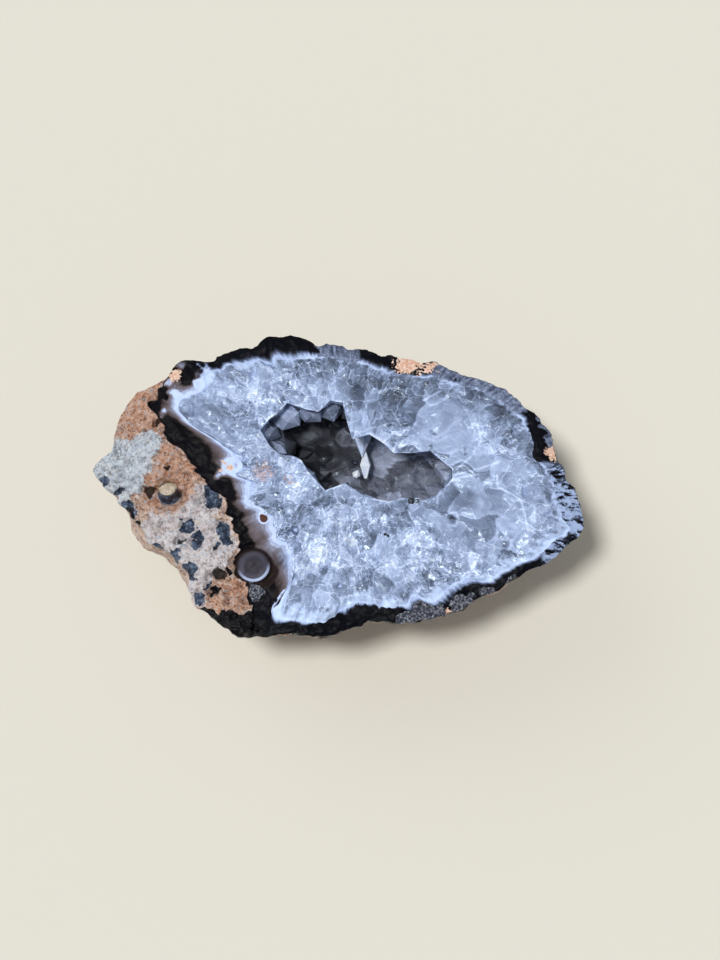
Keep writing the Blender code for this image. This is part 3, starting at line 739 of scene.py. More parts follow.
# %% Bowls
ROCK_BELOW, AGATE_BELOW, HOLLOW_DEPTH = 3.2, 3.6, 17.5
GAP = 0.3
HOLLOW_POWER = 0.4
THIN_AGATE = 0.9
RIND, RIND_TOP, LEFT_DROP = 1.6, 3.2, 4.0
NODULE_DEPTH = FACE - ROCK_BELOW
QUARTZ_DEPTH = NODULE_DEPTH - AGATE_BELOW
BUMP_REACH = 0.035 * SIDES


def bowl(rim, middle, full, levels, power=0.5, reach=BUMP_REACH):
    """Rings under a rim, for levels as shares of the full depth. A point lies at 1 less the level squared,
    to the power, of its way out from the middle."""
    soft = evened(rim, reach * len(rim) / SIDES) if reach else rim
    rows = []
    for level in levels:
        ring = mix(rim, soft, ease(1.6 * level - 0.21))
        flat = middle + (ring - middle) * max(0.0, 1 - level**2) ** power
        rows.append(np.column_stack([flat, np.full(len(rim), FACE - full * level)]))
    return rows


def under(middle, depth):
    """The point at this depth below the face's middle."""
    return np.array((*middle, FACE - depth))


stone_rim = evened(around(STONE_EDGE), 2.5)
stone_rim = grown(stone_rim, MIDDLE, grain(flat_3d(stone_rim), 3.0, 15, 4)[:, None] * 0.45)
quartz_rim = evened(around(QUARTZ_EDGE), 2.0)
hollow_rim = evened(around(HOLLOW_EDGE), 6)
mouth_rim = around(MOUTH_EDGE, ANGLES, HOLLOW_MIDDLE)
left_edge = evened(around(NODULE_EDGE_LEFT), 1.5)
thin_edge = grown(stone_rim, MIDDLE, -RIND)
first_left, last_left = (math.atan2(y, x) % math.tau for x, y in (NODULE_EDGE_LEFT[0], NODULE_EDGE_LEFT[-1]))
on_left = (ANGLES > first_left) & (ANGLES < last_left) & (length(left_edge) < length(thin_edge))[:, 0]
nodule_rim = np.where(on_left[:, None], left_edge, thin_edge)
rock_shows = ease((length(stone_rim - nodule_rim)[:, 0] - RIND - 0.4) / 2.5)
scallops = grain(flat_3d(nodule_rim), 2.6, 11, 3) * 0.8 + grain(flat_3d(nodule_rim), 0.9, 13, 2) * 0.45
nodule_rim = grown(nodule_rim, MIDDLE, (scallops * rock_shows)[:, None])
quartz_wobble = grain(np.column_stack([quartz_rim, np.zeros(SIDES)]), 2.2, 21, 3) * 0.7
quartz_rim = grown(quartz_rim, MIDDLE, quartz_wobble[:, None])
quartz_rim = quartz_rim * np.minimum(1, (length(nodule_rim) - THIN_AGATE) / length(quartz_rim))
print("the thick rock shows on", round(100 * rock_shows.mean()), "% of the face's edge")

# %% [markdown]
# ## The rock
#
# One closed skin: up the bowl that holds the nodule, over the broken top, and down the rounded outside to
# the patch it rests on. Its broken top carries the knob in its pit and the holes.

# %% Rock's small forms
# Each is x, y and radius. The knob is a small stub that stands in a pit.
KNOB = (-35.2, -0.6, 2.0)
PITS = [
    (-39.8, -0.6, 1), (-24.4, -18.2, 1.5), (-25.6, -21.9, 1), (-38, 14.3, 0.8), (-35.4, 4.1, 0.45),
    (-32.4, -11.2, 0.9),
]
FILLED = [
    (-26.4, -0.4, 1.7), (-25.6, -3, 1.5), (-32.2, -8.3, 1), (-31, -8.4, 1.1), (-29, -9.9, 1),
    (-28.8, -11.7, 1), (-23.5, -8.6, 1.4), (-23, -11, 1.3), (-25.3, -12.8, 0.8), (-36.9, -12.4, 1),
    (-33.9, -14.9, 1.2), (-30.4, -17.4, 1.4), (-28.2, -23, 1.3), (-44.2, -3.4, 1.4), (-42.6, -5.4, 1.4),
    (-49.4, 1.9, 1), (-45.8, -0.4, 0.9), (-26.8, -20.6, 0.6),
]
BLACK = [
    (-26.5, -27.6, 2.6), (-22.5, -29.4, 3.4), (-18.5, -29.6, 3.2), (-43.6, -5.6, 1.1), (-41.4, -8, 1),
    (-22.3, -17.6, 0.6), (-25.6, -21.9, 0.9),
]
ROCK_COLOURS = {
    "rusty": [(-40.5, 17, 7), (-38, 24, 4), (-22.6, -22.8, 4.4), (-36, 0, 5.5), (-33, 5.5, 4.5)],
    "blue": [(-45.5, 4.5, 6.3), (-40.2, 9, 3.4), (-46, -1, 3), (-32.6, -11.6, 1.2)],
    "pink": [(-33.5, -9.5, 6.5), (-27, -12, 6), (-27, -20.5, 4.5), (-28.5, -4, 4)],
}


def knob_reach(flat):
    """How far each place lies from the knob's foot and from its top, in shares of their radii. The top is
    set back, so that more of the knob's front shows."""
    x, y, radius = KNOB
    foot = length((flat - (x, y - 0.75)) / (1.0, 0.95))[..., 0] / (radius * 1.12)
    top = length((flat - (x - 0.05, y + 0.45)) / (1.0, 0.85))[..., 0] / (radius * 0.92)
    return foot, top


def rock_top(flat, shown):
    """How much the broken top is raised: grain, less round pits, plus the knob, which is a steep-sided
    round."""
    deep = flat_3d(flat)
    raised = waves(deep, 11, 1) * 0.8 + waves(deep, 5, 2) * 0.4
    raised = raised + grain(deep, 1.5, 31, 4) * 0.75 + grain(deep, 4.0, 35, 3) * 0.7
    ragged = uneven(flat, 1.6, 0.7, 37)
    raised = raised - 1.7 * near(ragged, PITS, 0.8) - 0.3 * near(ragged, FILLED, 0.4)
    foot, top = knob_reach(flat)
    raised = raised - 1.5 * ease((1.9 - foot) / 0.7)
    side = np.clip((1 - foot) / np.maximum(1e-6, np.maximum(0, 1 - foot) + np.maximum(0, top - 1)), 0, 1)
    raised = mix(raised, 2.6 + grain(deep, 0.9, 39, 2) * 0.2, side)
    return raised * shown


# %% [markdown]
# ## The rock's skin
#
# The rings of the skin follow the borders of the nodule and the stone. The lumps of the outside are the
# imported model's, with finer grain on top. Last come the measures for the finish, which fade out on the
# outside a few millimetres below the face.

# %% Rock
# The rock is thin beside the nodule, so no dent in its outside goes deeper than this.
DEEPEST_DENT = -0.8
ROCK_SIDES, TOP_ROWS, OUTSIDE_ROWS = 640, 88, 56


def resampled(values, turns):
    """A ring's values at other angles."""
    values = np.asarray(values, float)
    columns = values.reshape(SIDES, -1).T
    found = np.stack([np.interp(turns, ANGLES, column, period=math.tau) for column in columns], axis=-1)
    return found if values.ndim > 1 else found[:, 0]


def make_rock():
    """The rock's rings: the nodule's bowl, the broken top and the outside, whose rings shrink to 0.36 of
    the stone's edge at the patch on which it rests."""
    spread = np.linspace(0, math.tau, ROCK_SIDES, endpoint=False)
    # More of the points go to the left, where the rock is thick.
    turns = spread + 0.55 * np.sin(spread - math.radians(8))
    rim, nodule, shows = (resampled(ring, turns) for ring in (stone_rim, nodule_rim, rock_shows))
    inner = grown(nodule, NODULE_MIDDLE, GAP)
    deep = NODULE_DEPTH + GAP
    rows = bowl(inner, NODULE_MIDDLE, deep, (0.97, 0.9, 0.75, 0.5, 0.3, 0.13))
    rind_top = RIND_TOP * (1 - shows)
    start = NODULE_MIDDLE + (inner - NODULE_MIDDLE) * np.sqrt(1 - (rind_top / deep) ** 2)[:, None]
    drop = LEFT_DROP * shows * ease(1 - abs(turns - math.radians(178)) / math.radians(55))
    for across in np.linspace(0, 1, TOP_ROWS):
        flat = mix(start, rim, across)
        z = FACE - rind_top - drop * across**1.6
        z = z + rock_top(flat, shows * ease(across * 8))
        rows.append(np.column_stack([flat, z]))
    top = rows[-1]
    soft = evened(top[:, :2], BUMP_REACH * ROCK_SIDES / SIDES)
    for share in 1 - (1 - np.linspace(0, 1, OUTSIDE_ROWS)[1:]) ** 1.15:
        edge = mix(top[:, :2], soft, ease(1.6 * share - 0.1))
        flat = edge * mix(0.36, 1, max(0.0, 1 - share**2) ** 0.55)
        place = np.column_stack([flat, top[:, 2] * (1 - share)])
        outward = np.column_stack([flat / length(flat), np.full(len(flat), 0.35 - share)])
        outward /= length(outward)
        grip = ease(share / 0.4) * ease((1 - share) / 0.25)
        lump = (waves(place, 26, 3) * 1.5 + waves(place, 12, 4) * 0.8 + 0.3) * grip
        lump = lump + grain(place, 3.2, 41, 4) * 0.55 * ease(share / 0.06) * ease((1 - share) / 0.1)
        rows.append(place + outward * np.maximum(lump, DEEPEST_DENT)[:, None])
    grid = np.stack(rows)
    flat = uneven(grid[..., :2], 1.3, 0.8, 43)
    above_face = grid[..., 2] - FACE + grain(grid, 3.5, 47, 3) * 2.6
    on_top = ease((above_face + 7) / 1.5)
    foot, top = knob_reach(grid[..., :2])
    # The knob's front side, between its top and its foot, painted dark as its shaded side.
    front = ease((top - 0.98) / 0.12) * ease((1.05 - foot) / 0.1)
    measures = {label: near(flat, spots, 0.8) for label, spots in ROCK_COLOURS.items()}
    # Painted shade: a ring round the knob's foot, down in its pit.
    pit_rim_shade = 0.6 * ease((foot - 1.0) / 0.08) * ease((1.35 - foot) / 0.3)
    rind = (1 - shows) * ease((above_face + 5.5) / 1.2) * (1 - near(flat, ROCK_COLOURS["rusty"], 1.5))
    measures |= {
        # The holes, and the knob's front side as painted shade in the holes' glassy colour.
        "filled_and_knob_shade": np.maximum(near(flat, FILLED, 0.7), front),
        # Painted shade in the pits and round the knob's foot.
        "pit_shade": np.maximum(near(flat, PITS, 0.9), pit_rim_shade),
        "black": np.maximum(near(flat, BLACK, 0.4), rind),
        "knob": ease((1.06 - top) / 0.16),
        # Where the grain leaves the broken top low, for painted shade there.
        "low": ease(-0.2 - grain(flat_3d(grid[..., :2]), 1.5, 31, 4)),
    }
    measures = {label: values * on_top for label, values in measures.items()}
    poles = (under(NODULE_MIDDLE, deep), np.zeros(3))
    made = closed_piece("rock", rows, *poles, rock_material, "host_rock", **measures)
    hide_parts("host_rock")


make_rock()

# %% [markdown]
# ## The agate
#
# The agate is a bowl inside the rock. On the face it is a band with a wavy surface, and where the rock is
# thin it reaches out over it as a dark rim. The round eye is a second centre from which layers grew.

# %% Agate's patches
EYE = (-17.5, -16.6, 3.7)
BROWN = [(-36, 21, 7), (-30, 10, 9), (-24, 0, 9), (-19, -12, 8), (-14, -20, 4.5)]
DROP = [(-15.5, -6.6, 0.95), (-15.9, -6.1, 0.55)]
RINDS = [
    (18, -26.5, 3.4), (13.5, -28, 2.4), (25, -24.5, 2.6), (30, -22.6, 2), (-17, -22, 1.8), (35, -20, 1.6),
]
# For each kind of patch, how soft its border is and its round spots.
AGATE_PATCHES = {
    "stain": (1.6, [
        (-23.8, 5.6, 0.5), (-22.6, 4.6, 0.6), (-24.4, 4, 0.3), (14, 27.2, 2.6), (18.5, 26.4, 1.2),
        (44.2, 7.6, 1.6), (22, -27, 1.4), (-34.4, 24.3, 1.4),
    ]),
    "pocket": (1.1, [
        (-31.4, 24.4, 1.7), (-30.6, 26, 1.3), (-37.1, 20.6, 1.2), (-39.2, 18, 1.3), (-35.2, 13.4, 1.8),
        (-33.2, 10.4, 2.1), (-30.2, 6.2, 2.6), (-27.2, 4, 1.8), (-24.8, -0.4, 2.7), (-22.4, -0.8, 1.5),
        (-22.6, -5.5, 2.1), (-21.4, -9.2, 2.3), (-20.4, -13, 2.3), (-17.3, -23.4, 2.8), (-15.2, -21.6, 1.4),
        (-1, -30.2, 3.4), (5, -27.4, 2.6), (10.5, -27.6, 2.6), (41, 11.8, 2), (40.8, 8.2, 1.8),
        (14, 26.8, 2.4), (25.6, -22.8, 1.6), (28.8, -22.6, 1.4), (35.8, -19.2, 1.5), (46.9, -11.6, 1.3),
        (46.3, -6.6, 1),
        (48.2, -3.8, 1), (43.8, 1.8, 1), (-9, -31, 2.2), (-4, -30.6, 2.2), (41, -17.6, 1.5),
    ]),
    "light": (1.2, [
        (-33.4, 27.6, 1.5), (-28.6, 27.2, 1.2), (-29.2, 22.8, 1), (-35.6, 22.8, 1), (-33.8, 20.2, 1.2),
        (-36.4, 16.4, 0.7), (-23, 4.8, 1.5), (-25, 2.6, 0.9), (49.6, -8.2, 1.4),
    ]),
    "haze": (0.8, [
        (-2.5, 31, 2.5), (1, 30, 3.5), (22, 26.2, 3), (27, 24.5, 3), (32, 21.8, 3.5), (36, 19.2, 3),
        (42.8, 13.4, 1.5), (43.6, 10.8, 1.5), (41.8, 15.2, 1),
    ]),
    "folded": (0.6, [(44.8, 3.4, 2.6), (46.8, -1, 3.2), (47.8, -5, 3), (49, -8.5, 2.4), (44, -14, 3)]),
}

# %% [markdown]
# ## The agate's bowl
#
# The rows of the face are bunched where the band is thin. The eye is a low dome with a groove round it.
# Each row of the mesh also gets its measures for the finish, such as how far it lies from the quartz.

# %% Agate
AGATE_ROWS = 64


def face_level(flat):
    """Height of the face where the agate and the quartz meet."""
    return FACE + waves(flat_3d(flat), 14, 5) * 0.3


def make_agate():
    """The agate's rings: its inner bowl, the band on the face, the rim over the thin rock and the outer
    bowl."""
    lining = grown(quartz_rim, NODULE_MIDDLE, GAP)
    reach_over = (stone_rim - nodule_rim) * np.clip(1 - 12 * evened(rock_shows, 6), 0, 1)[:, None]
    outer = nodule_rim + reach_over
    width = length(outer - lining)[:, 0]
    rows = bowl(lining, NODULE_MIDDLE, QUARTZ_DEPTH + GAP, (0.93, 0.75, 0.5, 0.3, 0.12))
    rows.append(np.column_stack([lining, np.full(SIDES, FACE - 0.9)]))
    inside = len(rows)
    across = np.linspace(0, 1, AGATE_ROWS)[:, None]
    flat = mix(grown(quartz_rim, NODULE_MIDDLE, -0.35)[None], outer[None], across[..., None])
    edge = np.minimum(across, 1 - across) * width
    z = face_level(flat) - 0.5 * across**3 + grain(flat_3d(flat), 2.6, 51, 3) * 0.3 * ease(edge / 0.8)
    distance = length(flat - EYE[:2])[..., 0] / EYE[2]
    z = z + 0.9 * np.sqrt(np.clip(1 - distance**2, 0, 1)) - 0.6 * ease(1 - abs(distance - 1.15) / 0.3)
    z = z + grain(flat_3d(flat), 0.9, 53, 3) * 0.25 * near(flat, RINDS, 0.6) * ease(edge / 0.5)
    rows += list(np.concatenate([flat, z[..., None]], axis=-1))
    for depth, reach in ((0.3, 1.0), (0.7, 0.98), (1.2, 0.92), (1.7, 0.7), (2.2, 0.35), (2.6, 0.12)):
        wall = NODULE_MIDDLE + (nodule_rim - NODULE_MIDDLE) * math.sqrt(1 - (depth / NODULE_DEPTH) ** 2)
        place = np.column_stack([wall + reach_over * reach, np.full(SIDES, FACE - 0.5 - depth)])
        push = grain(place, 2.0, 61, 3)[:, None] * 0.35 * length(reach_over) / RIND
        place[:, :2] += place[:, :2] / length(place[:, :2]) * push
        rows.append(place)
    rows += bowl(nodule_rim, NODULE_MIDDLE, NODULE_DEPTH, (0.13, 0.3, 0.5, 0.75, 0.9, 0.97))
    outside = len(rows) - inside - AGATE_ROWS
    ragged = uneven(flat, 1.5, 0.6, 57)
    share = np.clip(across * width / np.clip(width, 2.2, 7.0), 0, 1)
    brown = near(flat, BROWN, 0.6)
    share = share * (1 - 0.3 * brown)
    share = np.maximum(share, 1 - 1.2 * (1 - across) * width)
    over_eye = flat[..., 1] - EYE[1] - 0.25 * (flat[..., 0] - EYE[0])
    # Each measure's value inside the bowl, on the face and outside it.
    measures = {
        "way": (0.0, share, 1.0),
        "eye": (2.0, distance, 2.0),
        "eye_low": (0.0, ease(0.12 - 1.2 * over_eye / EYE[2]), 0.0),
        "brown": (0.0, brown, 0.0),
        "drop": (0.0, near(flat, DROP, 1.4), 0.0),
        "rind": (0.0, near(ragged, RINDS, 0.8) * ease(across * width - 0.6), 0.4),
        "from_quartz": (0.0, across * width, 9.0),
    }
    for label, (soft, spots) in AGATE_PATCHES.items():
        measures[label] = (0.0, near(ragged, spots, soft), 0.0)
    measures = {
        label: np.vstack([np.full((inside, SIDES), low), values, np.full((outside, SIDES), high)])
        for label, (low, values, high) in measures.items()
    }
    measures |= around_rim(len(rows))
    poles = (under(NODULE_MIDDLE, QUARTZ_DEPTH + GAP), under(NODULE_MIDDLE, NODULE_DEPTH))
    made = closed_piece("agate", rows, *poles, agate_material, "agate", **measures)
    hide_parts("agate_shell")


make_agate()

# %% [markdown]
# ## The milky quartz
#
# The broken face is a height map of crystal ends: broad ones that stretch away from the hollow, fine ones
# near the agate, and large flat ones on the right, where whole crystals were broken across. Where the
# quartz is busy with cracks, calm, shady, stained or white is marked with round spots.

# %% Quartz's patches
# For each kind of patch, how soft its border is and its round spots.
QUARTZ_PATCHES = {
    "white": (0.9, [
        (-11, -27.5, 6.5), (-3.5, -28, 5), (4, -25, 3.5), (11, -26, 3), (20, -23.5, 3), (28, -21.5, 3.5),
        (35, -18.5, 4.5), (42, -14.5, 5.5), (47, -8.5, 3.5), (-28, 24.5, 2.2), (-20, 28, 2.5),
    ]),
    "busy": (0.9, [
        (-14, 2, 9), (-20, 14, 7), (-5, -10, 9), (4, -12, 8), (-15, -5, 7), (20, -14, 8), (32, -14, 7),
        (-12, 20, 6), (14, 12, 5),
    ]),
    "calm": (0.9, [
        (-27, 15.5, 4.5), (-24, 11.5, 3), (-16, -1.5, 3), (21, 12.5, 7.5), (27, 4, 4.5), (29, -7, 8.5),
        (22, -6, 4), (8, -12.5, 3),
    ]),
    "shady": (1.2, [
        (-3, 27, 5), (4, 25, 6), (10, 22, 4), (20, 23.5, 4), (28, 21, 4.5), (35, 16.5, 4), (22, -21, 2.5),
        (-14, -3, 3), (25, -2, 3), (22.9, -6.8, 0.8), (10, -4.8, 1.2),
    ]),
    "speck": (0.8, [
        (14.6, -2.8, 0.8), (15.8, -2.9, 0.5), (9.2, -9.9, 0.35), (9.8, -10.3, 0.3), (-31.5, 15, 0.3),
    ]),
    "stain": (0.8, [(-15.5, 3.5, 2.2), (-10.5, 1.8, 1)]),
}
# Borders of the larger crystals that were broken across, as they cross the face.
SEAMS = [
    [(23.8, 3.9), (26.7, 6.5), (29.1, 10.3), (28.3, 13.6)],
    [(17.2, 19), (20.5, 20.9), (21.9, 21.6)],
    [(19.7, -4.3), (20.1, -0.4), (21.5, 1.3), (24.6, 2.2), (30.8, 3.2)],
    [(32.2, 2.6), (32.2, 0.2), (35.3, -1.5), (36.9, -2.8), (37.7, -5.8), (38.3, -9.1)],
    [(23.6, 2.8), (28.7, 4.1), (32.8, 5.6)],
    [(21.5, -5.8), (23.6, -5.2), (24.2, -6.5), (23.6, -8.2), (22.1, -8)],
    [(-17.6, 14.7), (-17.2, 18.5), (-13.3, 19), (-12.1, 18.3), (-12.3, 16.2)],
    [(7.4, -11.9), (7, -14.4), (9.2, -16.4), (12.3, -17), (14.8, -15.5)],
    [(17.2, -13.2), (19.1, -11.4), (20.5, -12.3), (21.7, -14.7)],
]

# %% [markdown]
# ## The broken face
#
# Both the quartz and the crust of the hollow show this face, so one function gives its height and its
# measures at any place. Facets of three sizes are added, with shares that depend on the place.

# %% Broken face
SEAM_REACH = 0.36
QUARTZ_RISE = 1.0


def along(flat, lines, reach):
    """1 on any of the lines, falling to 0 at the reach."""
    nearest = np.full(flat.shape[:-1], np.inf)
    for line in lines:
        for start, end in zip(np.array(line[:-1]), np.array(line[1:])):
            share = np.clip((flat - start) @ (end - start) / ((end - start) @ (end - start)), 0, 1)
            nearest = np.minimum(nearest, length(flat - start - share[..., None] * (end - start))[..., 0])
    return ease(1 - nearest / reach)


def to_agate(flat):
    """Each point's distance from the quartz's outer border, along its own ray from the middle."""
    turn = np.arctan2(flat[..., 1], flat[..., 0]) % math.tau
    return np.interp(turn, ANGLES, length(quartz_rim)[:, 0], period=math.tau) - length(flat)[..., 0]


def broken_face(flat):
    """Height of the broken quartz over the face, and the measures of its crystals: large ones round the
    hollow and on the right, fine ones that stretch away from the hollow near the agate."""
    place = flat_3d(flat)
    warped = place + np.stack([grain(place, 4, 71 + n, 2) for n in range(3)], axis=-1) * 0.5
    border = to_agate(flat)
    large, crease_large, shade_large = facets(warped, 6.0, 81, 0.5, 1.3)
    small, crease_small, shade_small = facets(warped, 2.6, 83, 0.55, 1.7)
    tiny, crease_tiny, shade_tiny = facets(place, 1.1, 85, 0.6, 2.0)
    fine = ease((5.5 - border) / 4.5)
    right = ease((flat[..., 0] - 6) / 16)
    height = mix(large * 0.9, small * 0.3, fine) + small * mix(0.75, 0.35, right)
    height = height + tiny * mix(0.15, 0.42, fine)
    crease = mix(np.maximum(crease_large, crease_small * mix(0.8, 0.45, right)), crease_tiny * 0.8, fine)
    shade = mix(mix(shade_small, shade_large, 0.55 + 0.25 * right), mix(shade_tiny, shade_small, 0.5), fine)
    measures = {label: near(flat, spots, soft) for label, (soft, spots) in QUARTZ_PATCHES.items()}
    calm = measures["calm"]
    measures |= {
        "shade": mix(shade, shade_large, calm * 0.8),
        "crease": mix(crease, crease_large, calm * 0.8),
        "border": border,
        "seam": along(flat, SEAMS, SEAM_REACH),
    }
    return FACE + QUARTZ_RISE + (height + waves(place, 17, 6) * 0.35) * ease(border / 0.5), measures


# %% [markdown]
# ## The quartz's body
#
# The body is a bowl whose inner wall is the hollow. Towards the agate the broken face comes down to the
# agate's level, at a border that grain makes uneven.

# %% Quartz
QUARTZ_ROWS = 84


def make_quartz():
    """The quartz's rings: the hollow's wall, the broken face and the outer bowl."""
    rows = bowl(hollow_rim, HOLLOW_MIDDLE, HOLLOW_DEPTH, np.linspace(0.97, 0.12, 8), HOLLOW_POWER, 0)
    inside = len(rows)
    flat = mix(hollow_rim[None], quartz_rim[None], np.linspace(0, 1, QUARTZ_ROWS)[:, None, None])
    z, measures = broken_face(flat)
    fall = ease(1 - measures["border"] * (1 + grain(flat_3d(flat), 3.0, 89, 3) * 0.8) / 2.8)
    z = mix(z, face_level(flat) - 0.15, fall)
    rows += list(np.concatenate([flat, z[..., None]], axis=-1))
    rows += bowl(quartz_rim, NODULE_MIDDLE, QUARTZ_DEPTH, (0.1, 0.25, 0.45, 0.7, 0.88, 0.97))
    hidden = ((inside, len(rows) - inside - QUARTZ_ROWS), (0, 0))
    measures = {label: np.pad(values, hidden, constant_values=0.3) for label, values in measures.items()}
    measures["depth"] = np.maximum(0, FACE - np.stack(rows)[..., 2])
    measures |= around_rim(len(rows))
    poles = (under(HOLLOW_MIDDLE, HOLLOW_DEPTH), under(NODULE_MIDDLE, QUARTZ_DEPTH))
    made = closed_piece("quartz", rows, *poles, quartz_material, "quartz", **measures)
    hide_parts("quartz_lining")


make_quartz()

# %% [markdown]
# ## The crust round the hollow
#
# The hollow's mouth is smaller than the hollow: crystals reach over its edge from all sides. The crust is
# one closed skin that carries the broken face on to the mouth, turns down there, and opens out again to the
# hollow's wall.

# %% Crust
CRUST_ROWS, WALL_ROWS = 52, 50


def make_crust():
    """The crust's rings: its back against the quartz, the broken face up to the mouth and the inner wall.
    Facets push the inner wall towards the middle of the hollow."""
    rim = evened(around(HOLLOW_EDGE, ANGLES, HOLLOW_MIDDLE), 6)
    back, levels = grown(rim, HOLLOW_MIDDLE, -GAP), (0.97, 0.85, 0.65, 0.4, 0.2)
    rows = bowl(back, HOLLOW_MIDDLE, HOLLOW_DEPTH - GAP, levels, HOLLOW_POWER, 0)
    behind = len(rows)
    rows.append(np.column_stack([grown(rim, HOLLOW_MIDDLE, 0.1), np.full(SIDES, FACE - 1.6)]))
    across = np.linspace(0, 1, CRUST_ROWS)[:, None]
    flat = mix(grown(rim, HOLLOW_MIDDLE, 0.3)[None], mouth_rim[None], across[..., None])
    z, measures = broken_face(flat)
    # Painted light: the crust's last rows at the mouth are painted whiter along a ragged edge, as crystals
    # that catch the light.
    edge = ease((across - 0.9) / 0.08) * ease(grain(flat_3d(flat), 1.6, 95, 2) * 2 + 0.6)
    measures["shade"] = mix(measures["shade"], 1.25, edge)
    z = z - 0.1 * ease(1 - across * 8)
    rows += list(np.concatenate([flat, z[..., None]], axis=-1))
    top = rows[-1]
    full = HOLLOW_DEPTH - 1.7
    wall = grown(rim, HOLLOW_MIDDLE, -2.0)
    inner = []
    for depth in np.sin(np.linspace(0, 0.985, WALL_ROWS + 1)[1:] * math.pi / 2) * full:
        low = HOLLOW_MIDDLE + (wall - HOLLOW_MIDDLE) * max(0.0, 1 - (depth / full) ** 2) ** HOLLOW_POWER
        flat = mix(top[:, :2], low, ease(depth / 7))
        inner.append(np.column_stack([flat, mix(top[:, 2], FACE, ease(depth / 2)) - depth]))
    inner = np.stack(inner)
    height, crease, shade = facets(inner, 5.0, 91, 0.75)
    height = height + 0.3 * facets(inner, 2.0, 93, 0.7)[0]
    inward = np.concatenate([HOLLOW_MIDDLE - inner[..., :2], FACE - 3 - inner[..., 2:]], axis=-1)
    deep = np.maximum(0, FACE - inner[..., 2])
    inner = inner + inward / length(inward) * ((height + 1.2) * ease(deep / 2.5))[..., None]
    rows += list(inner)
    start = np.full((behind + 1, SIDES), 0.3)
    lower = {"crease": crease, "shade": shade, "border": np.full(crease.shape, 9.0)}
    measures = {
        label: np.vstack([start, values, lower.get(label, np.zeros(crease.shape))])
        for label, values in measures.items()
    }
    measures["depth"] = np.maximum(0, FACE - np.stack(rows)[..., 2])
    measures |= around_rim(len(rows))
    poles = (under(HOLLOW_MIDDLE, HOLLOW_DEPTH - GAP), under(HOLLOW_MIDDLE, full - 0.6))
    made = closed_piece("crust", rows, *poles, crystal_material, "crystal", **measures)
    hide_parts("crystal_crust")


make_crust()

# %% [markdown]
# ## The crystals in the hollow
#
# Each crystal is a six-sided prism with a pointed end. All hundred or so are made at once: every step of
# the form works on arrays that hold one row for each crystal. Most stand in rings on the hollow's wall, at
# random. A row of larger ones under the far edge and three lone ones have their own places.

# %% One crystal's form
CORNERS = 14


def crystal_points(roots, directions, radii, lengths, spins, leans, prism, taper):
    """Vertices of every crystal: two rings of six, a tip and a foot. A ring's corner is the middle plus
    radius times the cosine and sine of its angle along two directions that are square to the crystal's
    own."""
    directions = directions / length(directions)
    helper = np.where(abs(directions[:, 2:]) < 0.9, (0.0, 0.0, 1.0), (1.0, 0.0, 0.0))
    side = np.cross(directions, helper)
    side /= length(side)
    other = np.cross(directions, side)
    angles = spins[:, None] + np.arange(6) * math.tau / 6
    ring = side[:, None] * np.cos(angles)[..., None] + other[:, None] * np.sin(angles)[..., None]
    foot = roots[:, None] + ring * (radii * taper)[:, None, None]
    shoulder = roots + directions * (lengths * prism)[:, None]
    top = shoulder[:, None] + ring * (radii * 0.9)[:, None, None]
    sideways = side * leans[:, :1] + other * leans[:, 1:]
    tip = roots + directions * lengths[:, None] + sideways * radii[:, None]
    return np.concatenate([foot, top, tip[:, None], roots[:, None]], axis=1)


def crystal_faces(count):
    """The faces of one crystal, six sides, six of the point and six of the foot, repeated for each."""
    k, n = np.arange(6), (np.arange(6) + 1) % 6
    sides = np.stack([k, n, n + 6, k + 6], axis=-1)
    point = np.stack([k + 6, n + 6, np.full(6, 12)], axis=-1)
    foot = np.stack([n, k, np.full(6, 13)], axis=-1)
    shift = np.arange(count)[:, None, None] * CORNERS
    ends = np.vstack([point, foot])
    return (sides + shift).reshape(-1, 4).tolist() + (ends + shift).reshape(-1, 3).tolist()


# %% [markdown]
# ## All of the hollow's crystals
#
# The crystals that stand at random grow towards the middle of the hollow, and the deeper ones more upwards.

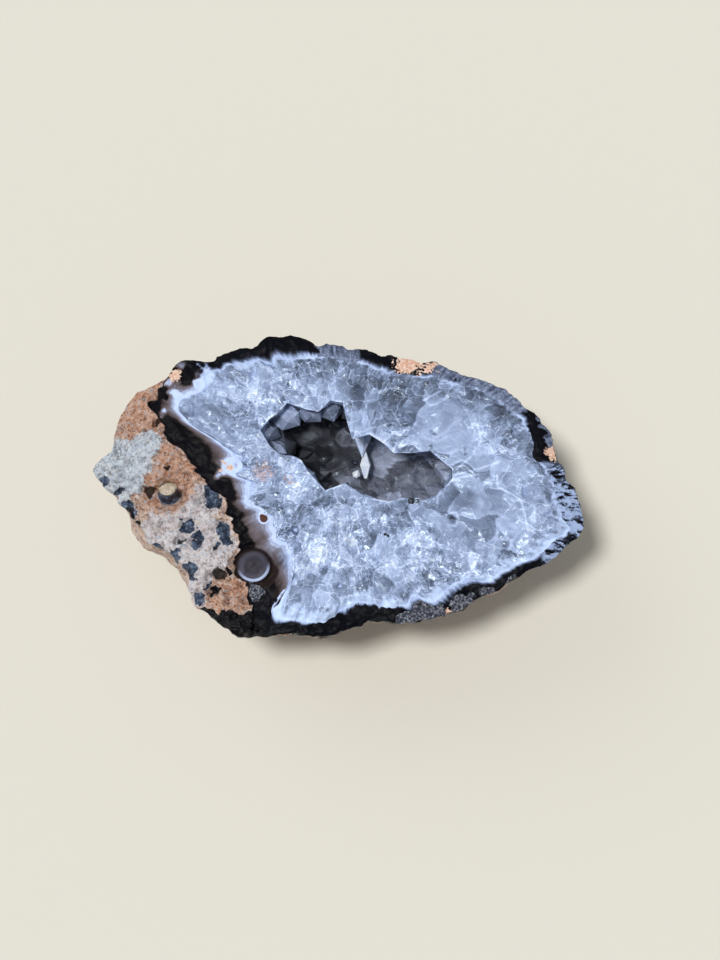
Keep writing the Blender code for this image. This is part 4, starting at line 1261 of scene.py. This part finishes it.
# %% Crystals
def make_crystals():
    """One mesh of all the single crystals. Their shade, depth and place on the face are set for the
    finish, with painted light on the three lone ones and on the ledge crystals."""
    draws = np.random.default_rng(7)
    sets = []
    rows = (  # share of the depth, how many, radius, length, upward aim
        (0.3, 26, (1.2, 2.2), (3.5, 6), 0.2),
        (0.45, 30, (1.4, 2.6), (4, 7), 0.35),
        (0.62, 28, (1.8, 3.2), (4, 8), 0.7),
        (0.84, 14, (1.6, 2.6), (3.5, 6), 0.6),
    )
    for share, count, radii, lengths, aim in rows:
        turns = (np.arange(count) + draws.uniform(0, 1, count)) * math.tau / count
        rim = around(HOLLOW_EDGE, turns, HOLLOW_MIDDLE)
        level = np.clip(share + draws.uniform(-0.06, 0.03, count), 0.02, 0.98)
        foot = HOLLOW_MIDDLE + (rim - HOLLOW_MIDDLE) * ((1 - level**2) ** HOLLOW_POWER)[:, None]
        inward = (HOLLOW_MIDDLE - foot) / length(HOLLOW_MIDDLE - foot)
        sideways = inward[:, ::-1] * (-1, 1) * draws.uniform(-0.35, 0.35, (count, 1))
        direction = np.column_stack([inward + sideways, aim + draws.uniform(-0.15, 0.15, count)])
        root = np.column_stack([foot, FACE - HOLLOW_DEPTH * level]) - direction / length(direction) * 0.8
        sets.append((root, direction, draws.uniform(*radii, count), draws.uniform(*lengths, count)))
    ledge = np.array([
        (-16.4, 13.2, 26), (-12.6, 17.6, 25.4), (-6.9, 18, 26.2), (-2.6, 19.6, 25.2), (-14.6, 9.4, 24.6),
    ])
    sets.append((
        ledge, (HOLLOW_MIDDLE[0], HOLLOW_MIDDLE[1] - 4, 28.0) - ledge, np.array([2.4, 3.4, 2.6, 3.2, 2.0]),
        np.array([4.4, 5.6, 4.2, 5.0, 4.0]),
    ))
    lone = (  # root, direction, radius, length
        ((5.3, 2.8, 20), (0, 1, 0.2), 1.35, 6.9),
        ((4.6, 12.2, 21.8), (0.12, -1, 0.12), 2.4, 4.9),
        ((3.3, 3.6, 20.2), (0.2, 0.6, 1), 0.9, 1.8),
    )
    sets.append(tuple(np.array(part) for part in zip(*lone)))
    roots, directions, radii, lengths = (np.concatenate(part) for part in zip(*sets))
    total, others = len(roots), len(roots) - len(lone)
    on_ledge = slice(others - len(ledge), others)
    spins, leans = draws.uniform(0, math.tau, total), draws.uniform(-0.3, 0.3, (total, 2))
    prism = np.append(draws.uniform(0.55, 0.8, others), (0.42, 0.1, 0.2))
    taper = np.append(np.ones(others), (0.25, 1.0, 1.0))
    points = crystal_points(roots, directions, radii, lengths, spins, leans, prism, taper)
    points[..., 2] = np.minimum(points[..., 2], FACE + 0.9)
    mesh = bpy.data.meshes.new("crystals")
    mesh.from_pydata(placed(points.reshape(-1, 3)).tolist(), [], crystal_faces(total))
    shade = draws.uniform(0, 1, total)
    # Painted light: the three lone crystals lie in the rim's shade, and get shades far above the others'.
    shade[others:] = (2.0, 1.2, 2.4)
    depth = np.maximum(0, FACE - points[..., 2])
    # Painted light: the lone crystals are given the milkiness of the face, not the grey of their depth.
    depth[others:] = 0.4
    depth[on_ledge] = 4.2
    right = to_right(points[..., 0])
    # Painted light: the ledge crystals get the light painted on the hollow's right side.
    right[on_ledge] = 0.95
    add_measures(mesh, {
        "shade": np.repeat(shade, CORNERS), "depth": depth.ravel(), "right": right.ravel(),
        "border": np.full(total * CORNERS, 9.0),
    })
    add_piece("crystals", mesh, crystal_material, smooth=False)


make_crystals()

# %% [markdown]
# ## Floor and light
#
# The stone lies on a plain warm-white ground. The sky is a little bluer low down than overhead. Soft light
# comes from the left, as from a large window, so that the shadow falls to the right.

# %% Studio
FLOOR_REACH = 3.0
SKY = ((0.55, (0.86, 0.94, 1.0)), (0.88, (1.0, 1.0, 1.0)))
SKY_STRENGTH = 0.33


def floor_finish():
    p = Paint("floor")
    return p.finish(p.shader(Base_Color=(216, 212, 201), Roughness=0.95))


floor_mesh = bpy.data.meshes.new("floor")
floor_corners = [(x * FLOOR_REACH, y * FLOOR_REACH, 0) for x, y in ((-1, -1), (1, -1), (1, 1), (-1, 1))]
floor_mesh.from_pydata(floor_corners, [], [(0, 1, 2, 3)])
floor_mesh.materials.append(floor_finish())
floor = bpy.data.objects.new("floor", floor_mesh)
bpy.context.scene.collection.objects.link(floor)

world = bpy.data.worlds.new("studio")
world.use_nodes = True
sky = world.node_tree.nodes
link = world.node_tree.links.new
way_up = sky.new("ShaderNodeSeparateXYZ")
shades = sky.new("ShaderNodeValToRGB")
for stop, (place, colour) in zip(shades.color_ramp.elements, SKY):
    stop.position = place
    stop.color = (*colour, 1)
link(sky.new("ShaderNodeTexCoord").outputs["Generated"], way_up.inputs[0])
link(way_up.outputs["Z"], shades.inputs["Fac"])
link(shades.outputs["Color"], sky["Background"].inputs["Color"])
sky["Background"].inputs["Strength"].default_value = SKY_STRENGTH
bpy.context.scene.world = world


def add_sun(name, energy, place, colour, wide):
    """A sun that shines from place towards the face, seen as a disc this many degrees wide."""
    light = bpy.data.lights.new(name, "SUN")
    light.energy = energy
    light.color = colour
    light.angle = math.radians(wide)
    made = bpy.data.objects.new(name, light)
    made.location = place
    made.rotation_euler = (Vector((0, 0, FACE * MM)) - Vector(place)).to_track_quat("-Z", "Y").to_euler()
    bpy.context.scene.collection.objects.link(made)


add_sun("window", 2.45, (-0.23, -0.145, 1.0), (1.0, 0.99, 0.97), 10)
add_sun("skylight", 0.45, (-0.8, 0.6, 0.8), (0.9, 0.95, 1.0), 45)

# %% [markdown]
# ## Camera
#
# The photo was taken from above, about 72 degrees over the horizon. Its distance is not known, so a long
# lens is used from the distance at which a pixel of the picture covers 0.205 mm of the face.

# %% Camera
PIXEL = 0.205 * MM
LENS = 90.0
SENSOR = 36.0
PICTURE_HEIGHT = 960
ELEVATION = math.radians(72)
AIM_RIGHT, AIM_BACK, AIM_LIFT = 4.1, -1.7, 3.4
distance = PIXEL * LENS * PICTURE_HEIGHT / SENSOR
aim = (AIM_RIGHT * MM + SHIFT[0] * MM, AIM_BACK * MM + SHIFT[1] * MM + AIM_LIFT * MM, FACE * MM)
target = Vector(aim)
camera_data = bpy.data.cameras.new("camera")
camera_data.lens = LENS
camera_data.sensor_width = SENSOR
camera_data.clip_end = 10.0
camera = bpy.data.objects.new("camera", camera_data)
back = Vector((0, -math.cos(ELEVATION), math.sin(ELEVATION)))
camera.location = target + back * distance
print("the camera stands", round(distance, 3), "m from the stone")
camera.rotation_euler = (-back).to_track_quat("-Z", "Y").to_euler()
bpy.context.scene.collection.objects.link(camera)
bpy.context.scene.camera = camera
bpy.context.scene.view_settings.view_transform = "Standard"
